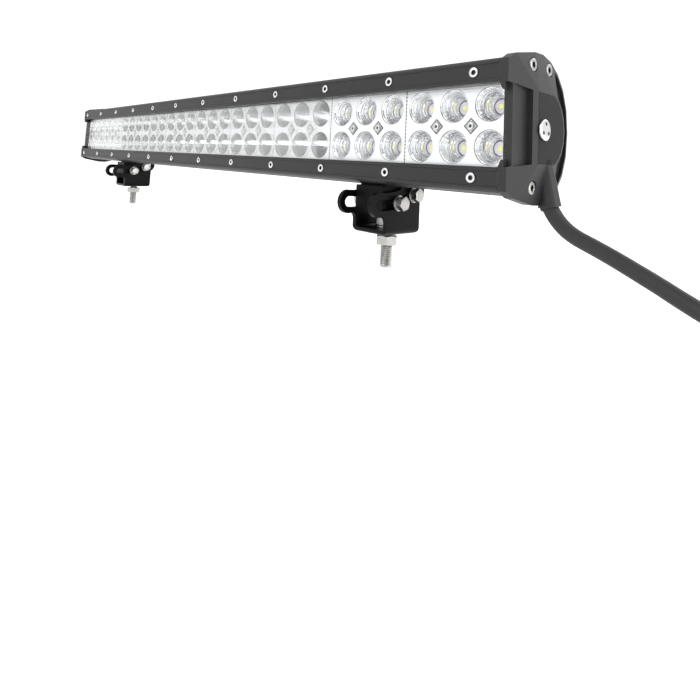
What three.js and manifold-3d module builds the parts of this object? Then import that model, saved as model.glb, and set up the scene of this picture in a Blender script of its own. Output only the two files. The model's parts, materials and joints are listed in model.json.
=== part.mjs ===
// Double-row LED light bar on two tilting, sliding feet.
//
// Frame: millimetres, +Z up, +X along the bar towards its cable end, -Y the way the light shines.
// The origin lies midway between the two feet, on the underside of their brackets.
// The lamp is drawn in its own frame: X from its middle, Y back from the front of its bezels and
// Z from its middle height. A foot is drawn in a frame on the underside of its own bracket.

import * as THREE from 'three';
import { mergeVertices } from 'three/addons/utils/BufferGeometryUtils.js';
import { ConvexGeometry } from 'three/addons/geometries/ConvexGeometry.js';
import Module from 'manifold-3d';

const wasm = await Module();
wasm.setup();

// ---------------------------------------------------------------- driving dimensions

const GAP = 0.3;                  // clearance between pieces that touch

const MODULES = 10;               // reflectors in a row
const MODULE_PITCH = 68.3;
const LED_COLUMNS = 3;            // per module
const LED_ROWS = 2;
const ROW_PITCH = 22.6;

const HOUSING_LONGER = 0.2;       // than the row of reflectors
const BEZEL_SHORTER = 5.6;        // than the housing
const LENS_SHORTER = 2;
const BEZEL_INNER = 21.4;         // half height of the opening between the bezels
const BEZEL_HEIGHT = 12;
const BEZEL_THICKNESS = 3.5;
const BEZEL_STRIP = 2.4;          // raised strips along a bezel's two long edges
const BEZEL_STRIP_STEP = 0.7;
const BEZEL_SCREWS = 12;
const BEZEL_SCREW_FIRST = 15;     // from the cable end of the bezel
const BEZEL_SCREW_LAST = 7;       // from its other end
const BEZEL_SCREW_Z = 27.5;
const BEZEL_SCREW_HEAD = 5.5;
const BEZEL_SCREW_SHANK = 3;

const LENS_THICKNESS = 2;
const LENS_OVERLAP = 3.4;         // hidden under a bezel
const LENS_SEAL_WIDTH = 2;
const LENS_SEAL_THICKNESS = 1;

const CUP_MOUTH = 9.3;            // radius of a reflector cup at its mouth
const CUP_THROAT = 3.6;           // and at its LED
const REFLECTOR_DEPTH = 12.6;
const CUP_SIDES = 12;

const BOARD_COUNT = 2;
const BOARD_THICKNESS = 1.6;
const EMITTER_SIZE = 3.5;
const EMITTER_HEIGHT = 1.4;

const HOUSING_SKIN = 1.6;         // the fins stay this far inside the end caps' outline
const HOUSING_FLOOR = 4.6;        // wall behind the LED boards
const FIN_PITCH = 6.2;
const FIN_SPACE = 3.4;
const FIN_SPACES_BELOW = 3;       // fin spaces under the middle one
const FIN_SPACES_ABOVE = 4;
const HOUSING_BOTTOM = -36.4;
const HOUSING_CHIN = -34.3;       // under the lower bezel
const SCREW_GROOVE_WIDTH = 2.6;
const SCREW_GROOVE_DEPTH = 5.2;

const TSLOT_Y = 14.8;             // middle of the track for the feet
const TSLOT_MOUTH = 2.8;          // half widths
const TSLOT_INSIDE = 4.5;
const TSLOT_LIP = 2;
const TSLOT_HEIGHT = 3.2;

const CAP_SKIRT = 1.6;            // how far the cap reaches over the housing
const CAP_FACE = 7.35;            // outer face beyond the housing's end
const CAP_FRONT = 2.55;           // front edge of its rim beyond the housing's end
const CAP_RIM = 4.4;              // and the rest of its rim
const CAP_RIM_SLOPE = 0.2;
const CAP_BACK = 65;
const CAP_TOP = 40.2;
const CAP_FACE_Y = 24;            // front edge of the outer face
const CAP_FACE_Z = 18.7;          // half height of the outer face there
const CAP_FACE_BACK = 53;
const CAP_FACE_ROUND = 36;        // where the face starts to round off
const CRESCENT_FRONT = 46;        // groove behind the face
const CRESCENT_STEP = 2.5;        // between the face and the groove
const CRESCENT_LIP = 2.2;         // between the groove and the cap's outline
const CRESCENT_FLOOR = 1.2;       // cap's wall left in it
const NOTCH_FRONT_Z = 21.6;       // half height of the notch at the bezels
const NOTCH_BACK_Z = 19.2;
const NOTCH_Y = 18.7;
const CAP_SEAL = 1;
const CAVITY_DEPTH = 3.4;
const CAVITY_Y = 30;
const CAVITY_BACK = 47;
const CAVITY_Z = 14;

const CAP_SCREW_HEAD = 7;
const CAP_SCREW_HEAD_HEIGHT = 2.4;
const CAP_SCREW_SHANK = 2.6;
const CAP_SCREW_LENGTH = 14;
const CAP_SCREW_WALL = 1.2;
const CAP_SCREW_PLACES = [[20.7, 32.8], [38.9, 32.8], [21.2, -31.2]];

const VENT_Y = 28.4;
const VENT_Z = -0.9;
const VENT_RADIUS = 5.7;
const VENT_RISE = 1.2;
const VENT_STEM = 3;
const VENT_STEM_LENGTH = 1.7;

const BOSS_Y = 37;                // cable boss on the outer face of the right cap
const BOSS_TOP = -17;
const BOSS_BOTTOM = -41;
const BOSS_TOP_RADIUS = 4.9;
const BOSS_BOTTOM_RADIUS = 5.9;
const BOSS_SIDES = 32;
const BOSS_X = 7.4;               // its lower middle beyond the housing's end
const CORD_RADIUS = 4.2;
const GLAND_WALL = 0.4;
const GLAND_SHOWS = 0.4;
const GLAND_DEPTH = 2.5;
const GLAND_END = 0.9;            // its inner end, which the cord stops at

const PLATE = 3;                  // bracket plate
const BRACKET_WIDTH = 30;
const BRACKET_FRONT = -17.5;
const BRACKET_BACK = 14.5;
const BRACKET_CORNER = 2.5;
const BEND = 4;
const BRACKET_NECK = 7;
const LAMP_Y = -27;               // front of the bezels from the middle of the feet
const LAMP_Z = 67;                // mid height of the lamp above the brackets' underside
const HINGE_Y = -19.8;            // axis that the lamp tilts about
const HINGE_Z = 78.9;
const SLOT_RADIUS = 60;
const SLOT_WIDTH = 6.8;
const SLOT_FRONT_ANGLE = -4.6;    // degrees back from straight below the axis
const SLOT_BACK_ANGLE = 31;
const SLOT_METAL = 4.2;           // plate round the slot
const EAR_CLEARANCE = 0.9;        // between the ears and the lamp's lower side
const BOLT_ANGLES = [11.8, 26.5];
const BOLT_SHANK = 5;
const BOLT_HEAD_ACROSS = 8;
const BOLT_HEAD_HEIGHT = 3.5;
const BOLT_WASHER = 10;
const BOLT_WASHER_THICKNESS = 1;
const SPRING_WASHER = 8.6;
const SPRING_WASHER_THICKNESS = 1.2;
const BOLT_REACH = 8.5;           // thread inside the foot block

const BLOCK_FRONT = 8;            // foot block, in the lamp's frame
const BLOCK_BACK = 40;
const BLOCK_BOTTOM = -51.5;
const BLOCK_CHAMFER = 4;          // on its lower back edge, which clears the stud's head

const STUD_SHANK = 8;
const STUD_HEAD_ACROSS = 13;
const STUD_HEAD_HEIGHT = 5.3;
const STUD_BOTTOM = -22;
const STUD_WASHER = 16;
const STUD_WASHER_THICKNESS = 1;
const NUT_HEIGHT = 6;
const PANEL_ROOM = 2.1;           // between bracket and nut, for the panel that they clamp

const FOOT_X = 222;               // each foot from the origin
const LAMP_X = -22.35;            // middle of the lamp from the origin

const ROUND = 16;                 // sides of a small round piece

// ---------------------------------------------------------------- finishes

const finish = (color, roughness, metalness) => (
  new THREE.MeshStandardMaterial({ color, roughness, metalness })
);
const powderCoat = finish(0x4b4b4d, 0.55, 0.3);
const capCoat = finish(0x333436, 0.5, 0.3);
const blackSteel = finish(0x2a2a2c, 0.4, 0.5);
const stainless = finish(0xc6c8ca, 0.25, 1);
const chrome = finish(0xe8eaec, 0.1, 1);
const clearPlastic = finish(0xf4f8fa, 0.05, 0);
const blackRubber = finish(0x1c1c1d, 0.8, 0);
const whiteBoard = finish(0xe9e9e4, 0.6, 0);
const greenBoard = finish(0x1f5a3a, 0.5, 0);

// ---------------------------------------------------------------- solids

/** A closed geometry as a solid that can be joined and cut. */
function solid(geometry) {
  let plain = geometry.clone();
  plain.deleteAttribute('normal');
  plain.deleteAttribute('uv');
  plain = mergeVertices(plain, 1e-4);
  return new wasm.Manifold(new wasm.Mesh({
    numProp: 3,
    vertProperties: new Float32Array(plain.attributes.position.array),
    triVerts: new Uint32Array(plain.index.array),
  }));
}

/** The geometry of a solid. */
function shell(manifold) {
  const mesh = manifold.getMesh();
  const geometry = new THREE.BufferGeometry();
  const points = new Float32Array((mesh.vertProperties.length / mesh.numProp) * 3);
  for (let i = 0; i < points.length / 3; i += 1) {
    for (let k = 0; k < 3; k += 1) points[3 * i + k] = mesh.vertProperties[mesh.numProp * i + k];
  }
  geometry.setAttribute('position', new THREE.BufferAttribute(points, 3));
  geometry.setIndex(new THREE.BufferAttribute(new Uint32Array(mesh.triVerts), 1));
  geometry.computeVertexNormals();
  return geometry;
}

const cut = (body, ...tools) => tools.reduce((left, tool) => left.subtract(tool), body);
const join = (...bodies) => bodies.reduce((whole, body) => whole.add(body));

/** An outline extruded between two places: along X from (y, z), Y from (x, z) or Z from (x, y). */
function extrude(shape, axis, from, to, curveSegments = 6) {
  const geometry = new THREE.ExtrudeGeometry(shape, { depth: to - from, bevelEnabled: false, curveSegments });
  const [x, y, z] = [new THREE.Vector3(1, 0, 0), new THREE.Vector3(0, 1, 0), new THREE.Vector3(0, 0, 1)];
  const turn = new THREE.Matrix4();
  if (axis === 'x') turn.makeBasis(y, z, x).setPosition(from, 0, 0);
  if (axis === 'y') turn.makeBasis(x, z, y.clone().negate()).setPosition(0, to, 0);
  if (axis === 'z') turn.setPosition(0, 0, from);
  return solid(geometry.applyMatrix4(turn));
}

/** A closed outline through corners, each [a, b]. */
function outline(corners) {
  const shape = new THREE.Shape();
  corners.forEach(([a, b], i) => (i ? shape.lineTo(a, b) : shape.moveTo(a, b)));
  shape.closePath();
  return shape;
}

/** A box between two corners. */
function block(x0, y0, z0, x1, y1, z1) {
  const geometry = new THREE.BoxGeometry(x1 - x0, y1 - y0, z1 - z0);
  return solid(geometry.translate((x0 + x1) / 2, (y0 + y1) / 2, (z0 + z1) / 2));
}

/** A round bar along an axis from one place to another, centred on the two other coordinates. */
function rod(axis, from, to, a, b, radius, sides = ROUND, endRadius = radius) {
  const geometry = new THREE.CylinderGeometry(endRadius, radius, to - from, sides);
  const middle = (from + to) / 2;
  if (axis === 'x') geometry.rotateZ(-Math.PI / 2).translate(middle, a, b);
  if (axis === 'y') geometry.translate(a, middle, b);
  if (axis === 'z') geometry.rotateX(Math.PI / 2).translate(a, b, middle);
  return solid(geometry);
}

/** A hexagon bar, measured across its flats. */
const hexagon = (axis, from, to, a, b, across) => rod(axis, from, to, a, b, across / Math.sqrt(3), 6);

/** The same solid on the other side of the plane x = 0. */
function mirrored(geometry) {
  const copy = geometry.clone().scale(-1, 1, 1);
  const index = copy.index.array;
  for (let i = 0; i < index.length; i += 3) [index[i], index[i + 1]] = [index[i + 1], index[i]];
  copy.computeVertexNormals();
  return copy;
}

function piece(name, geometry, material) {
  const mesh = new THREE.Mesh(geometry, material);
  mesh.name = name;
  return mesh;
}

// ---------------------------------------------------------------- places worked out from the sizes

const rowLength = MODULES * MODULE_PITCH;
const housingEnd = (rowLength + HOUSING_LONGER) / 2;
const bezelEnd = housingEnd - BEZEL_SHORTER / 2;
const lensEnd = housingEnd - LENS_SHORTER / 2;
const bezelTop = BEZEL_INNER + BEZEL_HEIGHT;
const lensFront = BEZEL_THICKNESS + GAP;
const lensBack = lensFront + LENS_THICKNESS;
const lensHalfHeight = BEZEL_INNER + LENS_OVERLAP;
const sealBack = lensBack + GAP + LENS_SEAL_THICKNESS;
const reflectorFront = sealBack + GAP;
const reflectorBack = reflectorFront + REFLECTOR_DEPTH;
const reflectorHalfHeight = lensHalfHeight - LENS_SEAL_WIDTH - GAP;
const boardFront = reflectorBack + GAP;
const boardBack = boardFront + BOARD_THICKNESS;
const floorFront = boardBack + GAP;
const floorBack = floorFront + HOUSING_FLOOR;
const hingeInLamp = { y: HINGE_Y - LAMP_Y, z: HINGE_Z - LAMP_Z };
const slotHalfWidth = SLOT_WIDTH / 2;
const lobeRadius = slotHalfWidth + SLOT_METAL;
// The lamp's lower side stays inside this radius round the hinge.
const clearRadius = SLOT_RADIUS - lobeRadius - EAR_CLEARANCE;
const capFace = housingEnd + CAP_FACE;
const capFront = housingEnd + CAP_FRONT;
const capSeat = housingEnd + GAP + CAP_SEAL + GAP;              // the cap's wall starts here
const screwSeat = capSeat + CAP_SCREW_WALL;
const pillarSide = capFront + 0.6;
const bezelScrewPitch = (2 * bezelEnd - BEZEL_SCREW_FIRST - BEZEL_SCREW_LAST) / (BEZEL_SCREWS - 1);
const screwX = (i) => bezelEnd - BEZEL_SCREW_FIRST - i * bezelScrewPitch;
const moduleX = (i) => ((MODULES - 1) / 2 - i) * MODULE_PITCH;
const degrees = THREE.MathUtils.degToRad;
const radius = (diameter) => diameter / 2;

/** Upper half of the lamp's side outline, front to back, set in from the cap's outline. */
function upperSide(inset, front) {
  const shape = new THREE.Path();
  shape.moveTo(front, bezelTop);
  shape.lineTo(5.5, CAP_TOP - 3.6 - inset);
  shape.lineTo(24, CAP_TOP - inset);
  shape.bezierCurveTo(42, CAP_TOP + 3.3 - inset, CAP_BACK + 0.5 - inset, 30 - inset, CAP_BACK - inset, 0);
  return shape.getPoints(6).map((point) => [point.x, point.y]);
}

// ---------------------------------------------------------------- lamp: housing and front

/** Lower half of the housing's outline, back to front: it clears the brackets as the lamp tilts. */
function lowerHousing() {
  const points = [];
  const flatEnd = Math.acos((hingeInLamp.z - HOUSING_BOTTOM) / clearRadius);
  const back = Math.PI / 2 - Math.asin((hingeInLamp.z + 1) / clearRadius);
  const steps = 8;
  for (let i = 0; i <= steps; i += 1) {
    const angle = back + ((flatEnd - back) * i) / steps;
    const y = hingeInLamp.y + clearRadius * Math.sin(angle);
    points.push([y, hingeInLamp.z - clearRadius * Math.cos(angle)]);
  }
  points.push([TSLOT_Y - 1, HOUSING_BOTTOM], [5, HOUSING_CHIN], [lensFront, -bezelTop]);
  return points;
}

function housingOutline() {
  const upper = upperSide(HOUSING_SKIN, lensFront);
  const [backY] = upper[upper.length - 1];
  return outline([...upper.slice(0, -1), [backY, -1], ...lowerHousing()]);
}

function makeHousing() {
  const end = housingEnd;
  const past = end + 1;
  const cavity = reflectorHalfHeight + GAP;
  const rebate = lensHalfHeight + GAP;
  const tools = [
    block(-past, 0, -cavity, past, floorFront, cavity),
    block(-past, 0, -rebate, past, sealBack, rebate),
  ];
  for (const side of [-1, 1]) {
    const middle = side * BEZEL_SCREW_Z;
    const half = SCREW_GROOVE_WIDTH / 2;
    tools.push(block(-past, 0, middle - half, past, lensFront + SCREW_GROOVE_DEPTH, middle + half));
  }
  for (let i = -FIN_SPACES_BELOW; i <= FIN_SPACES_ABOVE; i += 1) {
    const middle = i * FIN_PITCH;
    tools.push(block(-past, floorBack, middle - FIN_SPACE / 2, past, CAP_BACK + 5, middle + FIN_SPACE / 2));
  }
  const lip = HOUSING_BOTTOM + TSLOT_LIP;
  tools.push(block(-past, TSLOT_Y - TSLOT_MOUTH, HOUSING_BOTTOM - 5, past, TSLOT_Y + TSLOT_MOUTH, lip + 1));
  tools.push(block(-past, TSLOT_Y - TSLOT_INSIDE, lip, past, TSLOT_Y + TSLOT_INSIDE, lip + TSLOT_HEIGHT));
  for (const [y, z] of CAP_SCREW_PLACES) {
    tools.push(rod('x', -past, past, y, z, radius(CAP_SCREW_SHANK) + GAP, 8));
  }
  return shell(cut(extrude(housingOutline(), 'x', -end, end), ...tools));
}

function makeBezel(side) {
  const front = BEZEL_STRIP_STEP;
  const inner = BEZEL_INNER;
  const profile = outline([
    [BEZEL_THICKNESS, inner], [0, inner], [0, inner + BEZEL_STRIP - 0.5], [front, inner + BEZEL_STRIP],
    [front, bezelTop - BEZEL_STRIP], [0, bezelTop - BEZEL_STRIP + 0.5], [0, bezelTop - 0.8],
    [0.8, bezelTop], [BEZEL_THICKNESS, bezelTop],
  ].map(([y, z]) => [y, side * z]));
  const holes = [];
  for (let i = 0; i < BEZEL_SCREWS; i += 1) {
    const z = side * BEZEL_SCREW_Z;
    holes.push(rod('y', -1, BEZEL_THICKNESS + 1, screwX(i), z, radius(BEZEL_SCREW_SHANK) + GAP, 8));
    holes.push(rod('y', -1, BEZEL_THICKNESS - 1, screwX(i), z, radius(BEZEL_SCREW_HEAD) + GAP, 12));
  }
  return shell(cut(extrude(profile, 'x', -bezelEnd, bezelEnd), ...holes));
}

function makeLens() {
  return shell(block(-lensEnd, lensFront, -lensHalfHeight, lensEnd, lensBack, lensHalfHeight));
}

function makeLensSeal() {
  const front = lensBack + GAP;
  const ring = block(-lensEnd, front, -lensHalfHeight, lensEnd, sealBack, lensHalfHeight);
  const inner = lensHalfHeight - LENS_SEAL_WIDTH;
  const innerEnd = lensEnd - LENS_SEAL_WIDTH;
  return shell(cut(ring, block(-innerEnd, 0, -inner, innerEnd, sealBack + 1, inner)));
}

function makeReflector() {
  const half = (MODULE_PITCH - GAP) / 2;
  const body = block(-half, reflectorFront, -reflectorHalfHeight, half, reflectorBack, reflectorHalfHeight);
  const cups = [];
  for (let column = 0; column < LED_COLUMNS; column += 1) {
    for (let row = 0; row < LED_ROWS; row += 1) {
      const x = (column - (LED_COLUMNS - 1) / 2) * (MODULE_PITCH / LED_COLUMNS);
      const z = (row - (LED_ROWS - 1) / 2) * ROW_PITCH;
      const slope = (CUP_MOUTH - CUP_THROAT) / REFLECTOR_DEPTH;
      const [front, back] = [reflectorFront - 1, reflectorBack + 1];
      cups.push(rod('y', front, back, x, z, CUP_MOUTH + slope, CUP_SIDES, CUP_THROAT - slope));
    }
  }
  return shell(cut(body, ...cups));
}

function makeBoard() {
  const half = rowLength / BOARD_COUNT / 2 - GAP;
  const parts = [block(-half, boardFront, -reflectorHalfHeight, half, boardBack, reflectorHalfHeight)];
  const columns = (MODULES * LED_COLUMNS) / BOARD_COUNT;
  const e = EMITTER_SIZE / 2;
  for (let column = 0; column < columns; column += 1) {
    for (let row = 0; row < LED_ROWS; row += 1) {
      const x = (column - (columns - 1) / 2) * (MODULE_PITCH / LED_COLUMNS);
      const z = (row - (LED_ROWS - 1) / 2) * ROW_PITCH;
      parts.push(block(x - e, boardFront - EMITTER_HEIGHT, z - e, x + e, boardFront + 0.5, z + e));
    }
  }
  return shell(join(...parts));
}

// ---------------------------------------------------------------- lamp: end caps, drawn at the +X end

/** Outline of the outer face, front to back and round to the front again. */
function faceOutline(inset = 0) {
  const half = [];
  const steps = 5;
  const bulge = CAP_FACE_BACK - CAP_FACE_ROUND - inset;
  for (let i = 0; i <= steps; i += 1) {
    const angle = (Math.PI / 2) * (i / steps);
    half.push([CAP_FACE_ROUND + bulge * Math.sin(angle), (CAP_FACE_Z - inset) * Math.cos(angle)]);
  }
  const upper = [[CAP_FACE_Y + inset, CAP_FACE_Z - inset], ...half];
  const lower = upper.slice(0, -1).reverse().map(([y, z]) => [y, -z]);
  return [...upper, ...lower];
}

function capOutline(inset = 0, front = 0) {
  const upper = upperSide(inset, front);
  return [...upper, ...upper.slice(0, -1).reverse().map(([y, z]) => [y, -z])];
}

/** The cap's outer form: its side outline drawn in to the raised outer face. */
function capBody() {
  const rim = capOutline();
  const skirt = housingEnd - CAP_SKIRT;
  const points = faceOutline().map(([y, z]) => new THREE.Vector3(capFace, y, z));
  for (const [y, z] of rim) {
    const edge = Math.min(housingEnd + CAP_RIM, capFront + CAP_RIM_SLOPE * y);
    points.push(new THREE.Vector3(skirt, y, z), new THREE.Vector3(edge, y, z));
  }
  return solid(new ConvexGeometry(points));
}

/** The arms' tips reach in front of the housing to the ends of the bezels. */
function capArms() {
  const from = bezelEnd + GAP;
  const to = housingEnd + 0.5;
  const web = lensEnd + GAP;
  const arms = [];
  for (const side of [-1, 1]) {
    const shape = outline([
      [from, side * BEZEL_INNER], [web, side * (BEZEL_INNER - 3.8)], [to, side * (BEZEL_INNER - 3.8)],
      [to, side * bezelTop], [from, side * bezelTop],
    ]);
    arms.push(extrude(shape, 'y', 0, BEZEL_THICKNESS));
  }
  return arms;
}

/** The notch between the arms. */
function notchTools() {
  const far = capFace + 10;
  const notch = outline([
    [-1, -NOTCH_FRONT_Z], [NOTCH_Y, -NOTCH_BACK_Z], [NOTCH_Y, NOTCH_BACK_Z], [-1, NOTCH_FRONT_Z],
  ]);
  const front = outline([
    [-1, -NOTCH_FRONT_Z], [-1, NOTCH_FRONT_Z], [lensFront, NOTCH_FRONT_Z - 1], [lensFront, 1 - NOTCH_FRONT_Z],
  ]);
  return [extrude(notch, 'x', pillarSide, far), extrude(front, 'x', housingEnd - 5, far)];
}

/** The crescent-shaped groove behind the outer face. */
function crescentTool() {
  const floor = capSeat + CRESCENT_FLOOR;
  const far = capFace + 10;
  const area = extrude(outline(capOutline(CRESCENT_LIP)), 'x', floor, far);
  const kept = extrude(outline(faceOutline(-CRESCENT_STEP)), 'x', floor - 1, far + 1);
  const behind = block(floor - 1, CRESCENT_FRONT, -CAP_TOP, far + 1, CAP_BACK, CAP_TOP);
  return area.intersect(behind).subtract(kept);
}

function capScrewPockets() {
  const pockets = [];
  for (const [y, z] of CAP_SCREW_PLACES) {
    pockets.push(rod('x', screwSeat - 10, screwSeat + 1, y, z, radius(CAP_SCREW_SHANK) + GAP, 8));
    pockets.push(rod('x', screwSeat, screwSeat + 20, y, z, radius(CAP_SCREW_HEAD) + GAP, 24));
  }
  return pockets;
}

/** Room in the cap for the end of the housing, the end seal, the lens and the reflectors. */
function capRecess() {
  const envelope = capOutline(HOUSING_SKIN - GAP, lensFront - GAP);
  const wide = extrude(outline(envelope), 'x', housingEnd - 10, capSeat);
  return wide.subtract(block(lensEnd + GAP, 0, -BEZEL_INNER, capSeat + 1, sealBack + GAP, BEZEL_INNER));
}

function driverCavity() {
  return block(capSeat - 1, CAVITY_Y, -CAVITY_Z, capSeat + CAVITY_DEPTH, CAVITY_BACK, CAVITY_Z);
}

/** Lower middle of the cable boss, and the ways that the boss and the cord leaving it point. */
const bossFoot = new THREE.Vector3(housingEnd + BOSS_X, BOSS_Y, BOSS_BOTTOM);
const bossDirection = new THREE.Vector3(0.17, 0.02, -1).normalize();
const cordDirection = new THREE.Vector3(0.53, 0.05, -1).normalize();

/** A round bar through the boss's lower middle, between two distances above it. */
function throughBoss(direction, above, below, bottomRadius, topRadius = bottomRadius) {
  const geometry = new THREE.CylinderGeometry(topRadius, bottomRadius, above - below, BOSS_SIDES);
  geometry.translate(0, (above + below) / 2, 0);
  const up = direction.clone().negate();
  geometry.applyQuaternion(new THREE.Quaternion().setFromUnitVectors(new THREE.Vector3(0, 1, 0), up));
  return solid(geometry.translate(bossFoot.x, bossFoot.y, bossFoot.z));
}

function makeCap(withCable) {
  let body = cut(capBody(), ...notchTools());
  body = cut(join(body, ...capArms()), capRecess(), driverCavity(), crescentTool());
  if (withCable) {
    const boss = throughBoss(bossDirection, BOSS_TOP - BOSS_BOTTOM, 0, BOSS_BOTTOM_RADIUS, BOSS_TOP_RADIUS);
    body = join(body, boss.intersect(block(capSeat, 0, -CAP_BACK, capFace + 20, CAP_BACK, CAP_TOP)));
    body = cut(body, throughBoss(cordDirection, GLAND_DEPTH, -5, CORD_RADIUS + GLAND_WALL + 2 * GAP));
    body = cut(body, rod('x', capFace - 2, capFace + 10, VENT_Y, VENT_Z, VENT_STEM + GAP));
  }
  return shell(cut(body, ...capScrewPockets()));
}

function makeCapSeal() {
  const from = housingEnd + GAP;
  const outer = extrude(outline(capOutline(HOUSING_SKIN + 1, lensFront)), 'x', from, from + CAP_SEAL);
  const front = block(from - 1, 0, -60, from + 2, sealBack + 2 * GAP + 0.1, 60);
  const middle = block(from - 1, 0, -BEZEL_INNER, from + 2, CAVITY_BACK, BEZEL_INNER);
  const hole = radius(CAP_SCREW_SHANK) + GAP;
  const holes = CAP_SCREW_PLACES.map(([y, z]) => rod('x', from - 1, from + 2, y, z, hole, 8));
  return shell(cut(outer, front, middle, ...holes));
}

function makeCapScrew() {
  const shank = radius(CAP_SCREW_SHANK);
  const head = radius(CAP_SCREW_HEAD);
  const body = join(
    rod('x', -CAP_SCREW_LENGTH, 0.5, 0, 0, shank, 8),
    rod('x', 0, CAP_SCREW_HEAD_HEIGHT, 0, 0, head, ROUND, head * 0.86),
  );
  return shell(cut(body, hexagon('x', CAP_SCREW_HEAD_HEIGHT - 1.5, CAP_SCREW_HEAD_HEIGHT + 1, 0, 0, 3)));
}

function makeDriver() {
  const board = block(
    capSeat, CAVITY_Y + GAP, GAP - CAVITY_Z, capSeat + BOARD_THICKNESS, CAVITY_BACK - GAP, CAVITY_Z - GAP,
  );
  const chip = (y, z, wide, high) => block(
    capSeat + 1, y - wide / 2, z - high / 2, capSeat + CAVITY_DEPTH - GAP, y + wide / 2, z + high / 2,
  );
  return shell(join(board, chip(35, 7, 6, 8), chip(42, -6, 7, 10), chip(34, -8, 4, 5), chip(43, 8, 4, 6)));
}

function makeVent() {
  const face = capFace + GAP;
  const disc = rod('x', face, face + VENT_RISE, VENT_Y, VENT_Z, VENT_RADIUS, 24, VENT_RADIUS - 0.5);
  const stem = rod('x', capFace - VENT_STEM_LENGTH, face + 0.5, VENT_Y, VENT_Z, VENT_STEM);
  const holes = [90, 210, 330].map((angle) => rod(
    'x', face + VENT_RISE - 0.6, face + 5,
    VENT_Y + 3 * Math.cos(degrees(angle)), VENT_Z + 3 * Math.sin(degrees(angle)), 0.9, 8,
  ));
  return shell(cut(join(disc, stem), ...holes));
}

function makeGland() {
  const outer = CORD_RADIUS + GLAND_WALL + GAP;
  const sleeve = throughBoss(cordDirection, GLAND_DEPTH - GAP, -GLAND_SHOWS, outer);
  const cordEnd = GLAND_DEPTH - GAP - GLAND_END;
  return shell(cut(sleeve, throughBoss(cordDirection, cordEnd, -10, CORD_RADIUS + GAP)));
}

// ---------------------------------------------------------------- power cord

/** The cord's middle line from inside its gland to its plug: x is beyond the housing's end. */
const CORD_POINTS = [
  [6.95, 37, -40.1], [8.8, 37.2, -43.4], [11, 37.7, -46.95], [13.7, 38.4, -50.2], [16.8, 39.2, -53],
  [20.3, 40.2, -55.3], [22.6, 40.9, -56.5], [29.9, 42.6, -59.9], [37.4, 43.6, -63.4], [46.4, 44.1, -67.7],
  [55.9, 44.1, -72.2], [65.9, 43.4, -77], [75.9, 41.8, -81], [86.9, 39.3, -83.7], [99.4, 35.6, -84.5],
  [114.4, 30.8, -84.5], [131.4, 24.6, -84.5], [149.4, 18, -84.5], [167.4, 12.4, -84.5], [185.4, 8.6, -84.5],
  [204.4, 6.8, -84.5], [223.4, 6.6, -84.5],
];
const CORD_SIDES = 8;
const CORD_STEPS = 44;
const PLUG_LENGTH = 30;
const PLUG_WIDTH = 15;
const PLUG_HEIGHT = 8.2;
const COLLAR_LENGTH = 12;

const cordPlaces = CORD_POINTS.map(([x, y, z]) => new THREE.Vector3(housingEnd + x, y, z));
const cordLine = new THREE.CatmullRomCurve3(cordPlaces, false, 'centripetal');

function makeCord() {
  const section = new THREE.Shape();
  for (let i = 0; i < CORD_SIDES; i += 1) {
    const angle = ((i + 0.5) / CORD_SIDES) * 2 * Math.PI;
    const point = [CORD_RADIUS * Math.cos(angle), CORD_RADIUS * Math.sin(angle)];
    if (i) section.lineTo(...point); else section.moveTo(...point);
  }
  section.closePath();
  const along = { steps: CORD_STEPS, bevelEnabled: false, extrudePath: cordLine };
  return shell(solid(new THREE.ExtrudeGeometry(section, along)));
}

/** A two-pin plug with a round collar, lying at the end of the cord. */
function makePlug() {
  const start = cordLine.getPoint(1);
  const along = cordLine.getTangent(1);
  const collar = rod('x', GAP, COLLAR_LENGTH, 0, 0, CORD_RADIUS - 0.2, ROUND, PLUG_HEIGHT / 2);
  const half = PLUG_WIDTH / 2;
  const end = COLLAR_LENGTH + PLUG_LENGTH;
  const body = block(COLLAR_LENGTH - 1, -half, -CORD_RADIUS + 0.2, end, half, PLUG_HEIGHT - CORD_RADIUS);
  const pins = [-1, 1].map((side) => rod('x', end - 8, end + 1, side * 3.4, 0, 1.8, 10));
  const turn = new THREE.Quaternion().setFromUnitVectors(new THREE.Vector3(1, 0, 0), along);
  return shell(cut(join(collar, body), ...pins)).applyQuaternion(turn).translate(start.x, start.y, start.z);
}

// ---------------------------------------------------------------- feet

const arcPoint = (angle, distance) => [
  HINGE_Y + distance * Math.sin(degrees(angle)), HINGE_Z - distance * Math.cos(degrees(angle)),
];

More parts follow.
